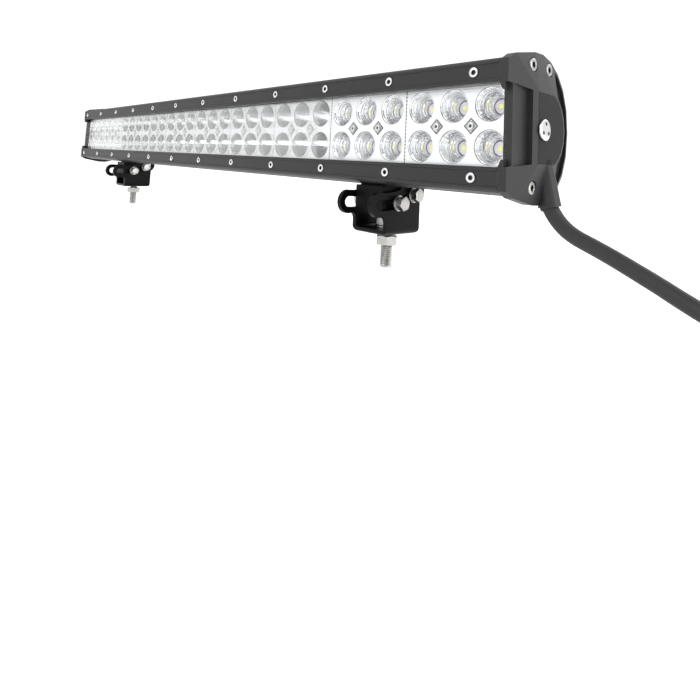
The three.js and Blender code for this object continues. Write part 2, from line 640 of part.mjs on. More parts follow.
/** Outline of a bracket's ear from the side: two lobes round the curved slot on a square lower part. */
function earOutline() {
  const [frontY, frontZ] = arcPoint(SLOT_FRONT_ANGLE, SLOT_RADIUS);
  const [backY, backZ] = arcPoint(SLOT_BACK_ANGLE, SLOT_RADIUS);
  const a0 = degrees(SLOT_FRONT_ANGLE);
  const a1 = degrees(SLOT_BACK_ANGLE);
  const right = Math.PI / 2;
  const leave = -Math.acos(Math.min(1, (BRACKET_BACK - backY) / lobeRadius));
  const shape = new THREE.Shape();
  shape.moveTo(...arcPoint(SLOT_FRONT_ANGLE, SLOT_RADIUS - lobeRadius));
  shape.absarc(HINGE_Y, HINGE_Z, SLOT_RADIUS - lobeRadius, a0 - right, a1 - right, false);
  shape.absarc(backY, backZ, lobeRadius, a1 + right, leave, true);
  shape.lineTo(BRACKET_BACK, BRACKET_CORNER);
  shape.absarc(BRACKET_BACK - BRACKET_CORNER, BRACKET_CORNER, BRACKET_CORNER, 0, -right, true);
  shape.lineTo(BRACKET_FRONT + BRACKET_CORNER, 0);
  shape.absarc(BRACKET_FRONT + BRACKET_CORNER, BRACKET_CORNER, BRACKET_CORNER, -right, -2 * right, true);
  shape.lineTo(BRACKET_FRONT, BRACKET_NECK);
  const meet = degrees(-70);
  const meetY = frontY + lobeRadius * Math.cos(meet);
  shape.quadraticCurveTo(BRACKET_FRONT, frontZ - lobeRadius, meetY, frontZ + lobeRadius * Math.sin(meet));
  shape.absarc(frontY, frontZ, lobeRadius, meet, a0 + right - 4 * right, true);
  return shape;
}

/** The curved slot that both bolts of an ear ride in. */
function slotOutline() {
  const a0 = degrees(SLOT_FRONT_ANGLE);
  const a1 = degrees(SLOT_BACK_ANGLE);
  const right = Math.PI / 2;
  const shape = new THREE.Shape();
  shape.absarc(HINGE_Y, HINGE_Z, SLOT_RADIUS + slotHalfWidth, a0 - right, a1 - right, false);
  shape.absarc(...arcPoint(SLOT_BACK_ANGLE, SLOT_RADIUS), slotHalfWidth, a1 - right, a1 + right, false);
  shape.absarc(HINGE_Y, HINGE_Z, SLOT_RADIUS - slotHalfWidth, a1 - right, a0 - right, true);
  shape.absarc(...arcPoint(SLOT_FRONT_ANGLE, SLOT_RADIUS), slotHalfWidth, a0 + right, a0 + 3 * right, false);
  return shape;
}

function makeBracket() {
  const half = BRACKET_WIDTH / 2;
  const inner = half - PLATE;
  const channel = new THREE.Shape();
  channel.moveTo(-half, 60);
  channel.lineTo(-half, BEND);
  channel.absarc(-half + BEND, BEND, BEND, Math.PI, 1.5 * Math.PI, false);
  channel.lineTo(half - BEND, 0);
  channel.absarc(half - BEND, BEND, BEND, -Math.PI / 2, 0, false);
  channel.lineTo(half, 60);
  channel.lineTo(inner, 60);
  channel.lineTo(inner, BEND);
  channel.lineTo(inner - 1, PLATE);
  channel.lineTo(1 - inner, PLATE);
  channel.lineTo(-inner, BEND);
  channel.lineTo(-inner, 60);
  channel.closePath();
  const reach = BRACKET_BACK + 30;
  const ears = extrude(earOutline(), 'x', -half - 1, half + 1, 7);
  const slots = extrude(slotOutline(), 'x', -half - 2, half + 2, 7);
  const hole = rod('z', -5, 10, 0, 0, radius(STUD_SHANK) + GAP, 12);
  return shell(cut(extrude(channel, 'y', -reach, reach, 3).intersect(ears), slots, hole));
}

function makeFootBlock() {
  const half = BRACKET_WIDTH / 2 - PLATE - GAP;
  const top = HOUSING_BOTTOM - GAP;
  const lip = HOUSING_BOTTOM + TSLOT_LIP;
  const neck = TSLOT_MOUTH - GAP;
  const head = TSLOT_INSIDE - GAP;
  const profile = outline([
    [BLOCK_FRONT, BLOCK_BOTTOM], [BLOCK_BACK - BLOCK_CHAMFER, BLOCK_BOTTOM],
    [BLOCK_BACK, BLOCK_BOTTOM + BLOCK_CHAMFER], [BLOCK_BACK, top], [TSLOT_Y + neck, top],
    [TSLOT_Y + neck, lip + GAP], [TSLOT_Y + head, lip + GAP], [TSLOT_Y + head, lip + TSLOT_HEIGHT - GAP],
    [TSLOT_Y - head, lip + TSLOT_HEIGHT - GAP], [TSLOT_Y - head, lip + GAP], [TSLOT_Y - neck, lip + GAP],
    [TSLOT_Y - neck, top], [BLOCK_FRONT, top],
  ].map(([y, z]) => [y + LAMP_Y, z + LAMP_Z]));
  const bore = radius(BOLT_SHANK) + GAP;
  const holes = [];
  for (const angle of BOLT_ANGLES) {
    const [y, z] = arcPoint(angle, SLOT_RADIUS);
    const bottom = half + GAP + PLATE + GAP - (PLATE + GAP + BOLT_REACH) - GAP;
    holes.push(rod('x', bottom, half + 5, y, z, bore, 12), rod('x', -half - 5, -bottom, y, z, bore, 12));
  }
  return shell(cut(extrude(profile, 'x', -half, half), ...holes));
}

/** A hexagon bolt with its spring and flat washers, drawn outwards from the ear's face. */
function makeBolt() {
  const spring = BOLT_WASHER_THICKNESS + SPRING_WASHER_THICKNESS;
  return shell(join(
    rod('x', -(PLATE + GAP + BOLT_REACH), 0.5, 0, 0, radius(BOLT_SHANK), 12),
    rod('x', 0, BOLT_WASHER_THICKNESS, 0, 0, radius(BOLT_WASHER)),
    rod('x', BOLT_WASHER_THICKNESS - 0.3, spring, 0, 0, radius(SPRING_WASHER)),
    hexagon('x', spring - 0.3, spring + BOLT_HEAD_HEIGHT, 0, 0, BOLT_HEAD_ACROSS),
  ));
}

function makeStud() {
  const washerTop = PLATE + GAP + STUD_WASHER_THICKNESS + GAP;
  return shell(join(
    rod('z', STUD_BOTTOM, washerTop + 1, 0, 0, radius(STUD_SHANK), 12),
    hexagon('z', washerTop, washerTop + STUD_HEAD_HEIGHT, 0, 0, STUD_HEAD_ACROSS),
  ));
}

function makeStudWasher() {
  const bottom = PLATE + GAP;
  const top = bottom + STUD_WASHER_THICKNESS;
  return shell(cut(
    rod('z', bottom, top, 0, 0, radius(STUD_WASHER), 24),
    rod('z', bottom - 1, top + 1, 0, 0, radius(STUD_SHANK) + GAP, 12),
  ));
}

function makeNut() {
  return shell(cut(
    hexagon('z', -PANEL_ROOM - NUT_HEIGHT, -PANEL_ROOM, 0, 0, STUD_HEAD_ACROSS),
    rod('z', STUD_BOTTOM, 5, 0, 0, radius(STUD_SHANK) + GAP, 12),
  ));
}

// ---------------------------------------------------------------- assembly

function buildLamp() {
  const lamp = new THREE.Group();
  lamp.position.set(LAMP_X, LAMP_Y, LAMP_Z);
  lamp.add(
    piece('housing', makeHousing(), powderCoat),
    piece('bezel_top', makeBezel(1), powderCoat),
    piece('bezel_bottom', makeBezel(-1), powderCoat),
    piece('lens', makeLens(), clearPlastic),
    piece('lens_seal', makeLensSeal(), blackRubber),
  );
  const reflector = makeReflector();
  for (let i = 0; i < MODULES; i += 1) {
    const mesh = piece(`reflector_${i + 1}`, reflector, chrome);
    mesh.position.x = moduleX(i);
    lamp.add(mesh);
  }
  const board = makeBoard();
  for (let i = 0; i < BOARD_COUNT; i += 1) {
    const mesh = piece(`led_board_${i + 1}`, board, whiteBoard);
    mesh.position.x = ((BOARD_COUNT - 1) / 2 - i) * (rowLength / BOARD_COUNT);
    lamp.add(mesh);
  }
  const seal = makeCapSeal();
  const screw = makeCapScrew();
  const screwPlace = screwSeat + GAP;
  for (const side of ['right', 'left']) {
    const right = side === 'right';
    const placed = (geometry) => (right ? geometry : mirrored(geometry));
    lamp.add(piece(`end_cap_${side}`, placed(makeCap(right)), capCoat));
    lamp.add(piece(`end_cap_seal_${side}`, placed(seal), blackRubber));
    CAP_SCREW_PLACES.forEach(([y, z], i) => {
      const mesh = piece(`end_cap_screw_${side}_${i + 1}`, placed(screw), stainless);
      mesh.position.set(right ? screwPlace : -screwPlace, y, z);
      lamp.add(mesh);
    });
  }
  lamp.add(
    piece('driver_board', makeDriver(), greenBoard),
    piece('breather_vent', makeVent(), stainless),
    piece('cord_gland', makeGland(), blackRubber),
    piece('power_cord', makeCord(), blackRubber),
    piece('power_plug', makePlug(), blackRubber),
  );
  return lamp;
}

function buildFoot(side) {
  const foot = new THREE.Group();
  foot.position.x = side === 'right' ? FOOT_X : -FOOT_X;
  foot.add(
    piece(`bracket_${side}`, makeBracket(), blackSteel),
    piece(`foot_block_${side}`, makeFootBlock(), blackSteel),
    piece(`stud_bolt_${side}`, makeStud(), stainless),
    piece(`stud_washer_${side}`, makeStudWasher(), stainless),
    piece(`stud_nut_${side}`, makeNut(), stainless),
  );
  const bolt = makeBolt();
  for (const face of ['outer', 'inner']) {
    BOLT_ANGLES.forEach((angle, i) => {
      const faceX = BRACKET_WIDTH / 2 + GAP;
      const geometry = face === 'outer' ? bolt : mirrored(bolt);
      const mesh = piece(`tilt_bolt_${side}_${face}_${i + 1}`, geometry, stainless);
      mesh.position.set(face === 'outer' ? faceX : -faceX, ...arcPoint(angle, SLOT_RADIUS));
      foot.add(mesh);
    });
  }
  return foot;
}

const lightBar = new THREE.Group();
lightBar.add(buildLamp(), buildFoot('right'), buildFoot('left'));

export default lightBar;
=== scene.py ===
"""A double-row LED light bar on two tilting feet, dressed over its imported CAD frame."""

import json
import logging
import math
from collections.abc import Callable, Iterable, Sequence
from dataclasses import dataclass, field
from enum import Enum
from typing import Any

import bpy
from mathutils import Matrix, Vector

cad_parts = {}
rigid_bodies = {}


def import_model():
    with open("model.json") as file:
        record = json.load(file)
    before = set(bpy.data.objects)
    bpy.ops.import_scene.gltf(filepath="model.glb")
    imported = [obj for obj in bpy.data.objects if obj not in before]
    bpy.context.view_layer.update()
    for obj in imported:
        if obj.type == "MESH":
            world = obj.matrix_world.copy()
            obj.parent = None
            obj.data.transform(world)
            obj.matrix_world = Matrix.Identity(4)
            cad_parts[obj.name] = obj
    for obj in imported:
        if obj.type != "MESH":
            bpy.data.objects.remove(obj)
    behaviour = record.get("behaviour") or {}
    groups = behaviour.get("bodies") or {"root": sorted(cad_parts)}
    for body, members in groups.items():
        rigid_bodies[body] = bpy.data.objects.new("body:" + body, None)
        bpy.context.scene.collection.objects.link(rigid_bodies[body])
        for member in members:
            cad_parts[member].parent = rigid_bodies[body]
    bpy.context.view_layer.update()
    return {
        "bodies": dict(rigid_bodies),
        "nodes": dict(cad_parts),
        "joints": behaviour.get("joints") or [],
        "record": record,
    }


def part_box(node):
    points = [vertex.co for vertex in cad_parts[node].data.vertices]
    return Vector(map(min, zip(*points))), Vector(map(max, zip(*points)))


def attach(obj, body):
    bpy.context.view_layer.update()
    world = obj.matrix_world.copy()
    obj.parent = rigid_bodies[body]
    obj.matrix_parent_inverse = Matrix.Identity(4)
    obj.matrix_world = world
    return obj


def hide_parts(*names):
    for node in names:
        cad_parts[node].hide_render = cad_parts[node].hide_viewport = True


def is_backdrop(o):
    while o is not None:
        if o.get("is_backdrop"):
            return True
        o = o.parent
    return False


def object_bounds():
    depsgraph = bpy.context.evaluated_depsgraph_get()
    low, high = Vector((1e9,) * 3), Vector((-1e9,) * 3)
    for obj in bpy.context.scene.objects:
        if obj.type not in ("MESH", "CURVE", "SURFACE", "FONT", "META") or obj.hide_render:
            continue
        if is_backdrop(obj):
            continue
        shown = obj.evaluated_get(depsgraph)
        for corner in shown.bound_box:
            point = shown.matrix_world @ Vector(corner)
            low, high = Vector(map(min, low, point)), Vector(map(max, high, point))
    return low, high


LOG = logging.getLogger("light_bar")

MM = 0.001
TURN = 2 * math.pi
BAR_MIDDLE_X = -22.35        # the middle of the bar along X, in millimetres
BAR_MIDDLE_Z = 67.0          # the middle of its face in height
MODULES = 10
FLOOD_MODULES = (1, 2, 9, 10)
CHAMFER_START = 0.97         # share of a hexagon's half width where its corners start to turn off
CHAMFER_SLOPE = math.tan(math.radians(28))

Color = tuple[float, float, float]
Point = tuple[float, float, float]
Ring = list[Vector]
Measure = float | Callable[[float], float]      # a length, or its value at an angle


# ---------------------------------------------------------------- shader graphs


class Socket:
    """An output of a node, or a bare value, that can be worked with as a number."""

    def __init__(self, graph: "Graph", source: Any) -> None:
        """Keeps the graph that new Math nodes go into.

        Args:
            graph: the node graph.
            source: the node's output socket.
        """
        self.graph = graph
        self.source = source

    def _math(self, operation: str, first: Any, second: Any) -> "Socket":
        """One Math node.

        Args:
            operation: the node's operation.
            first: its first value or link.
            second: its second value or link.

        Returns:
            The node's output.
        """
        return self.graph.node("ShaderNodeMath", {"operation": operation}, {0: first, 1: second})

    def __add__(self, other: Any) -> "Socket":
        """This plus another."""
        return self._math("ADD", self, other)

    def __radd__(self, other: Any) -> "Socket":
        """Another plus this."""
        return self._math("ADD", other, self)

    def __sub__(self, other: Any) -> "Socket":
        """This less another."""
        return self._math("SUBTRACT", self, other)

    def __rsub__(self, other: Any) -> "Socket":
        """Another less this."""
        return self._math("SUBTRACT", other, self)

    def __mul__(self, other: Any) -> "Socket":
        """This times another."""
        return self._math("MULTIPLY", self, other)

    def __rmul__(self, other: Any) -> "Socket":
        """Another times this."""
        return self._math("MULTIPLY", other, self)

    def __gt__(self, other: Any) -> "Socket":
        """One where this is more than another, and otherwise nought."""
        return self._math("GREATER_THAN", self, other)

    def __lt__(self, other: Any) -> "Socket":
        """One where this is less than another, and otherwise nought."""
        return self._math("LESS_THAN", self, other)

    def __truediv__(self, other: Any) -> "Socket":
        """This divided by another."""
        return self._math("DIVIDE", self, other)

    def through(self, operation: str) -> "Socket":
        """This put through a function of one value, such as SINE."""
        return self.graph.node("ShaderNodeMath", {"operation": operation}, {0: self})

    def clamped(self) -> "Socket":
        """This, kept from nought to one."""
        settings = {"operation": "ADD", "use_clamp": True}
        return self.graph.node("ShaderNodeMath", settings, {0: self, 1: 0.0})


class Graph:
    """The node graph of one material or world."""

    def __init__(self, owner: Any) -> None:
        """Clears the owner's nodes.

        Args:
            owner: a material or world.
        """
        owner.use_nodes = True
        self.tree = owner.node_tree
        self.tree.nodes.clear()

    def node(self, kind: str, settings: dict[str, Any], inputs: dict[Any, Any], out: Any = 0) -> Socket:
        """Adds one node.

        Args:
            kind: the node's type.
            settings: its settings, which are set first; "stops" are a ramp's (place, colour) pairs.
            inputs: the value or link of each socket, by name or number.
            out: the output that is wanted, by name or number.

        Returns:
            That output.
        """
        made = self.tree.nodes.new(kind)
        for key, value in settings.items():
            if key == "stops":
                self._set_stops(made.color_ramp, value)
            else:
                setattr(made, key, value)
        for key, value in inputs.items():
            if isinstance(value, Socket):
                self.tree.links.new(value.source, made.inputs[key])
            else:
                made.inputs[key].default_value = value
        return Socket(self, made.outputs[out] if len(made.outputs) else None)

    @staticmethod
    def _set_stops(ramp: Any, stops: Sequence[tuple[float, Color]]) -> None:
        """Gives a ramp its stops.

        Args:
            ramp: the colour ramp.
            stops: each stop's place and colour.
        """
        while len(ramp.elements) < len(stops):
            ramp.elements.new(1.0)
        for element, (place, color) in zip(ramp.elements, stops):
            element.position = place
            element.color = (*color, 1.0)

    def place(self) -> Socket:
        """Where a point of the surface is on the object at rest."""
        return self.node("ShaderNodeTexCoord", {}, {}, "Object")

    def split(self, vector: Socket, axis: int) -> Socket:
        """One coordinate of a vector.

        Args:
            vector: the vector.
            axis: 0, 1 or 2.

        Returns:
            That coordinate.
        """
        return self.node("ShaderNodeSeparateXYZ", {}, {0: vector}, axis)

    def noise(self, cells_per_m: float, detail: float = 3.0, stretch: Point = (1.0, 1.0, 1.0)) -> Socket:
        """Even noise from 0 to 1.

        Args:
            cells_per_m: how fine it is.
            detail: how many finer layers it has.
            stretch: how much finer it is along each axis.

        Returns:
            The noise.
        """
        scaled = self.node(
            "ShaderNodeVectorMath", {"operation": "MULTIPLY"}, {0: self.place(), 1: stretch}
        )
        return self.node(
            "ShaderNodeTexNoise", {}, {"Vector": scaled, "Scale": cells_per_m, "Detail": detail}, "Fac"
        )

    def mix(self, factor: Any, first: Any, second: Any) -> Socket:
        """A colour between two.

        Args:
            factor: 0 gives the first and 1 the second.
            first: a colour or link.
            second: a colour or link.

        Returns:
            The mixed colour.
        """
        colors = [value if isinstance(value, Socket) else (*value, 1.0) for value in (first, second)]
        return self.node("ShaderNodeMix", {"data_type": "RGBA"}, {0: factor, 6: colors[0], 7: colors[1]}, 2)

    def bump(self, height: Socket, relief_mm: float) -> Socket:
        """A bumped normal.

        Args:
            height: from 0 to 1.
            relief_mm: how high 1 stands, in millimetres.

        Returns:
            The normal.
        """
        return self.node("ShaderNodeBump", {}, {"Height": height, "Distance": relief_mm * MM})

    def edges(self, radius_mm: float) -> Socket:
        """How near a point is to a sharp edge that stands out, from 0 to 1.

        Args:
            radius_mm: how wide the edge's band is.

        Returns:
            The mask.
        """
        bevel = self.node("ShaderNodeBevel", {"samples": 4}, {"Radius": radius_mm * MM})
        normal = self.node("ShaderNodeNewGeometry", {}, {}, "Normal")
        dot = self.node("ShaderNodeVectorMath", {"operation": "DOT_PRODUCT"}, {0: bevel, 1: normal}, "Value")
        return ((1.0 - dot) * 6.0).clamped()

    def finish(self, shader: Socket) -> None:
        """Sends a shader to the output.

        Args:
            shader: the surface's shader.
        """
        self.node("ShaderNodeOutputMaterial", {}, {"Surface": shader})

    def surface(self, inputs: dict[str, Any]) -> None:
        """Sends a Principled shader to the output.

        Args:
            inputs: the value or link of each of its sockets.
        """
        self.finish(self.node("ShaderNodeBsdfPrincipled", {}, inputs))


def toned(color: Color, share: float) -> Color:
    """A colour made darker or lighter by a share."""
    return tuple(channel * share for channel in color)


class Finish:
    """A finish that makes its material once."""

    name: str
    made: dict[str, bpy.types.Material] = {}

    def material(self) -> bpy.types.Material:
        """The finish's material."""
        name = self.name
        if name not in Finish.made:
            made = bpy.data.materials.new(name)
            self.paint(Graph(made))
            Finish.made[name] = made
        return Finish.made[name]

    def paint(self, graph: Graph) -> None:
        """Builds the finish's nodes.

        Args:
            graph: the material's empty graph.
        """
        raise NotImplementedError


@dataclass(frozen=True)
class PowderCoat(Finish):
    """A baked coat with a fine orange-peel grain, and a painted edge highlight: its edges are lighter."""

    name: str
    color: Color
    roughness: float = 0.45
    grain_per_m: float = 2600.0
    relief_mm: float = 0.05
    # The lighter colour of the painted edge highlight.
    edge_highlight_color: Color = (0.1, 0.1, 0.105)
    shine: float = 0.5

    def paint(self, graph: Graph) -> None:
        """Builds the finish's nodes.

        Args:
            graph: the material's empty graph.
        """
        grain = graph.noise(self.grain_per_m, 4.0)
        cloud = graph.noise(55.0, 3.0)
        dark = toned(self.color, 0.82)
        light = toned(self.color, 1.22)
        base = graph.mix(cloud, dark, light)
        stops = [(0.55, (0, 0, 0)), (0.75, (1, 1, 1))]
        speck = graph.node("ShaderNodeValToRGB", {"stops": stops}, {0: grain})
        base = graph.mix(speck * 0.35, base, light)
        # Painted edge highlight: sharp edges are mixed towards a lighter colour.
        base = graph.mix(graph.edges(0.5) * 0.35, base, self.edge_highlight_color)
        graph.surface({
            "Base Color": base,
            "Roughness": self.roughness - 0.06 + grain * 0.12,
            "Specular IOR Level": self.shine,
            "Normal": graph.bump(grain, self.relief_mm),
        })


@dataclass(frozen=True)
class CapCoat(PowderCoat):
    """The end caps' coat, darker on the D-shaped outer face."""

    face_color: Color = (0.004, 0.004, 0.0043)
    centre_x: float = BAR_MIDDLE_X * MM
    centre_z: float = BAR_MIDDLE_Z * MM
    face_x: float = 0.34875
    face_half_z: float = 0.0188

    def paint(self, graph: Graph) -> None:
        """Builds the finish's nodes.

        Args:
            graph: the material's empty graph.
        """
        grain = graph.noise(self.grain_per_m, 4.0)
        cloud = graph.noise(55.0, 3.0)
        base = graph.mix(cloud, toned(self.color, 0.85), toned(self.color, 1.2))
        # Painted edge highlight: sharp edges are mixed towards a lighter colour.
        base = graph.mix(graph.edges(0.6) * 0.35, base, self.edge_highlight_color)
        along = (graph.split(graph.place(), 0) - self.centre_x).through("ABSOLUTE")
        height = (graph.split(graph.place(), 2) - self.centre_z).through("ABSOLUTE")
        face = (along > self.face_x) * (height < self.face_half_z)
        base = graph.mix(face, base, self.face_color)
        graph.surface({
            "Base Color": base,
            "Roughness": self.roughness - 0.06 + grain * 0.12 + face * 0.25,
            "Specular IOR Level": self.shine,
            "Normal": graph.bump(grain, self.relief_mm),
        })


@dataclass(frozen=True)
class Steel(Finish):
    """Stainless steel with fine turning marks and faint handling stains."""

    name: str
    color: Color = (0.62, 0.61, 0.6)
    roughness: float = 0.2
    marks_per_m: float = 2200.0
    stretch: Point = (1.0, 0.15, 1.0)

    def paint(self, graph: Graph) -> None:
        """Builds the finish's nodes.

        Args:
            graph: the material's empty graph.
        """
        marks = graph.noise(self.marks_per_m, 2.0, self.stretch)
        stain = graph.noise(320.0, 3.0)
        base = graph.mix(stain, toned(self.color, 0.82), self.color)
        graph.surface({
            "Base Color": base,
            "Metallic": 1.0,
            "Roughness": self.roughness + marks * 0.16,
            "Normal": graph.bump(marks, 0.012),
        })


class Beam(Enum):
    """How a module's cups spread the light."""

    FLOOD = "flood"
    SPOT = "spot"


@dataclass(frozen=True)
class Mirror(Finish):
    """Bright metallised plastic: fine moulded ribs on its flat face, with painted shade in their grooves, and
    painted reflections and a painted shade ring in its cups.
    """

    name: str
    beam: Beam
    color: Color = (0.99, 0.99, 1.0)
    shade: Color = (0.05, 0.05, 0.053)
    roughness: float = 0.12
    rib_mm: float = 1.3
    pitch_mm: float = 68.3 / 3
    columns: int = 3
    row_mm: float = 11.3
    mouth_mm: float = 9.3
    throat_mm: float = 3.9
    dash_mm: float = 2.2
    ring_mm: float = 0.9
    spokes: float = 20.0
    half_columns: float = 15.0
    centre_x_mm: float = BAR_MIDDLE_X
    centre_z_mm: float = BAR_MIDDLE_Z

    def flood(self, radius: Socket, angle: Socket, rise: Socket) -> Socket:
        """How dark a flood cup is painted: a painted reflection of fine rings and spokes, with a mesh of them
        low down, where the painted reflection is darker too.

        Args:
            radius: distance from the cup's axis.
            angle: angle round it.
            rise: height above the cup's axis.

        Returns:
            The darkness.
        """
        # Painted reflection: fine rings and spokes, stronger low down, plus a painted darkening low in the
        # cup.
        rings = ((radius * (TURN / self.ring_mm)).through("SINE") * 2.4 - 1.5).clamped()
        spokes = ((angle * self.spokes).through("SINE") * 2.4 - 1.7).clamped()
        low = (0.15 - rise / self.mouth_mm).clamped()
        return rings * (0.3 + low * 0.25) + spokes * (0.12 + low * 0.3) + low * 0.1

    def spot(self, radius: Socket, angle: Socket, out: Socket, graph: Graph) -> Socket:
        """How dark a spot cup is painted: a painted reflection of a dark crescent towards the bar's middle,
        and painted streaks.

        Args:
            radius: distance from the cup's axis.
            angle: angle round it.
            out: height above the cup's axis, away from the bar's middle.
            graph: the material's graph.

        Returns:
            The darkness.
        """
        share = radius / self.mouth_mm
        # Painted reflection: a dark crescent towards the bar's middle.
        near = ((share * 0.4 - out / self.mouth_mm - 0.5) * 4.0).clamped()
        # Painted reflection: dark streaks round the cup.
        painted_streak = graph.node(
            "ShaderNodeTexNoise", {"noise_dimensions": "1D"},
            {"W": angle * 3.2, "Scale": 1.8, "Detail": 2.0}, "Fac",
        )
        return near * 0.88 + ((painted_streak - 0.57) * 9.0).clamped() * 0.4

    def paint(self, graph: Graph) -> None:
        """Builds the finish's nodes.

        Args:
            graph: the material's empty graph.
        """
        place = graph.place()
        along = graph.split(place, 0) / MM - self.centre_x_mm
        cell = along / self.pitch_mm + self.half_columns
        across = (cell.through("FRACT") - 0.5) * self.pitch_mm
        height = graph.split(place, 2) / MM - self.centre_z_mm
        out = height.through("ABSOLUTE") - self.row_mm
        radius = (across * across + out * out).through("SQRT")
        angle = graph.node("ShaderNodeMath", {"operation": "ARCTAN2"}, {0: out, 1: across})
        facing = graph.split(graph.node("ShaderNodeNewGeometry", {}, {}, "True Normal"), 1)
        flat = facing < -0.97
        inside = (radius < self.mouth_mm) * (1.0 - flat)
        rim = ((radius - self.mouth_mm).through("ABSOLUTE") < 0.22) * 0.3
        # The cup's darkness is painted reflection, drawn by flood or spot.
        if self.beam is Beam.FLOOD:
            cup = self.flood(radius, angle, height - height.through("SIGN") * self.row_mm)
        else:
            cup = self.spot(radius, angle, out, graph)
        # Painted shade: a darker ring round the cup's throat, about the LED.
        bottom = ((self.throat_mm + 0.9 - radius) * 1.1).clamped() * 0.3
        seam_width = self.pitch_mm * self.columns
        seam_cell = along / seam_width + self.half_columns / self.columns
        seam = 0.5 - (seam_cell.through("FRACT") - 0.5).through("ABSOLUTE")
        dashes = (height * (TURN / self.dash_mm)).through("SINE") > 0.0
        dark = (cup + bottom).clamped() * inside + (seam < 0.5 / seam_width) * dashes * flat * 0.85
        wave = (height * (TURN / self.rib_mm)).through("SINE")
        # Painted shade: darker in the grooves between the moulded ribs.
        groove_shade = (wave * 2.0 - 1.4).clamped() * flat * 0.1
        haze = graph.noise(180.0, 2.0)
        base = graph.mix(haze * 0.03 + (dark + rim + groove_shade).clamped() * 0.94, self.color, self.shade)
        graph.surface({
            "Base Color": base,
            "Metallic": 1.0,
            "Roughness": self.roughness + haze * 0.05 + flat * 0.25,
            "Normal": graph.bump((wave * 0.5 + 0.5) * flat, 0.02),
        })


@dataclass(frozen=True)
class ClearLens(Finish):
    """Clear hard-coated polycarbonate."""

    name: str

    def paint(self, graph: Graph) -> None:
        """Builds the finish's nodes.

        Args:
            graph: the material's empty graph.
        """
        haze = graph.noise(40.0, 2.0)
        gloss = graph.node("ShaderNodeBsdfPrincipled", {}, {
            "Base Color": (1.0, 1.0, 1.0, 1.0),
            "Metallic": 1.0,
            "Roughness": 0.02 + haze * 0.03,
        })
        clear = graph.node("ShaderNodeBsdfTransparent", {}, {"Color": (0.985, 0.99, 0.99, 1.0)})
        fresnel = graph.node("ShaderNodeFresnel", {}, {"IOR": 1.3})
        graph.finish(graph.node("ShaderNodeMixShader", {}, {0: fresnel * 0.5, 1: clear, 2: gloss}))


@dataclass(frozen=True)
class Moulded(Finish):
    """Rubber or plastic with a fine spark-eroded grain."""

    name: str
    color: Color
    roughness: float = 0.55
    grain_per_m: float = 1800.0
    relief_mm: float = 0.03

    def paint(self, graph: Graph) -> None:
        """Builds the finish's nodes.

        Args:
            graph: the material's empty graph.
        """
        grain = graph.noise(self.grain_per_m, 3.0)
        cloud = graph.noise(90.0, 2.0)
        base = graph.mix(cloud, toned(self.color, 0.8), toned(self.color, 1.25))
        graph.surface({
            "Base Color": base,
            "Roughness": self.roughness - 0.05 + grain * 0.1,
            "Normal": graph.bump(grain, self.relief_mm),
        })


@dataclass(frozen=True)
class Phosphor(Finish):
    """An LED's yellow phosphor under its clear dome, with a faint painted glow."""

    name: str
    core: Color = (0.8, 0.78, 0.16)
    rim: Color = (0.86, 0.86, 0.42)

    def paint(self, graph: Graph) -> None:
        """Builds the finish's nodes.

        Args:
            graph: the material's empty graph.
        """
        mottle = graph.noise(2500.0, 2.0)
        color = graph.mix(mottle, self.core, self.rim)
        graph.surface({
            "Base Color": color,
            "Roughness": 0.25,
            "Coat Weight": 1.0,
            "Coat Roughness": 0.03,
            # Painted glow: the phosphor emits faintly though the LEDs are not lit.
            "Emission Color": color,
            "Emission Strength": 0.25,
        })


HOUSING_COAT = PowderCoat("housing_coat", (0.0165, 0.0165, 0.017), shine=0.35)
CAP_COAT = CapCoat("cap_coat", (0.0165, 0.0165, 0.017), shine=0.35)
BLOCK_COAT = PowderCoat(
    "block_coat", (0.003, 0.003, 0.0033), 0.4, edge_highlight_color=(0.012, 0.012, 0.012), shine=0.1
)
BRACKET_PAINT = PowderCoat(
    "bracket_paint", (0.0025, 0.0025, 0.0028), 0.32, 1400.0, 0.03, edge_highlight_color=(0.02, 0.02, 0.02), shine=0.1
)
STAINLESS = Steel("stainless", (0.5, 0.49, 0.475), 0.24)
SCREW_STEEL = Steel("screw_steel", (0.8, 0.8, 0.8), 0.16)
# Steel painted dark: painted shade in key holes, reflector screw windows and the breather's holes.
HOLE_SHADE_STEEL = Steel("hole_shade_steel", (0.09, 0.09, 0.09), 0.45)
MIRRORS = {beam: Mirror(f"reflector_{beam.value}", beam) for beam in Beam}
LENS = ClearLens("lens_clear")
BOARD_WHITE = Moulded("led_board_white", (0.8, 0.8, 0.78), 0.45)
LED_DISC = Moulded("led_disc", (0.84, 0.82, 0.9), 0.25)
BOARD_GREEN = Moulded("driver_board_green", (0.02, 0.12, 0.05), 0.4)
SEAL_RUBBER = Moulded("seal_rubber", (0.015, 0.015, 0.015), 0.65)
CORD_JACKET = Moulded("cord_jacket", (0.011, 0.011, 0.0115), 0.55, 1200.0, 0.04)
PLUG_PLASTIC = Moulded("plug_plastic", (0.02, 0.02, 0.021), 0.45)
PHOSPHOR = Phosphor("led_phosphor")


# ---------------------------------------------------------------- meshes


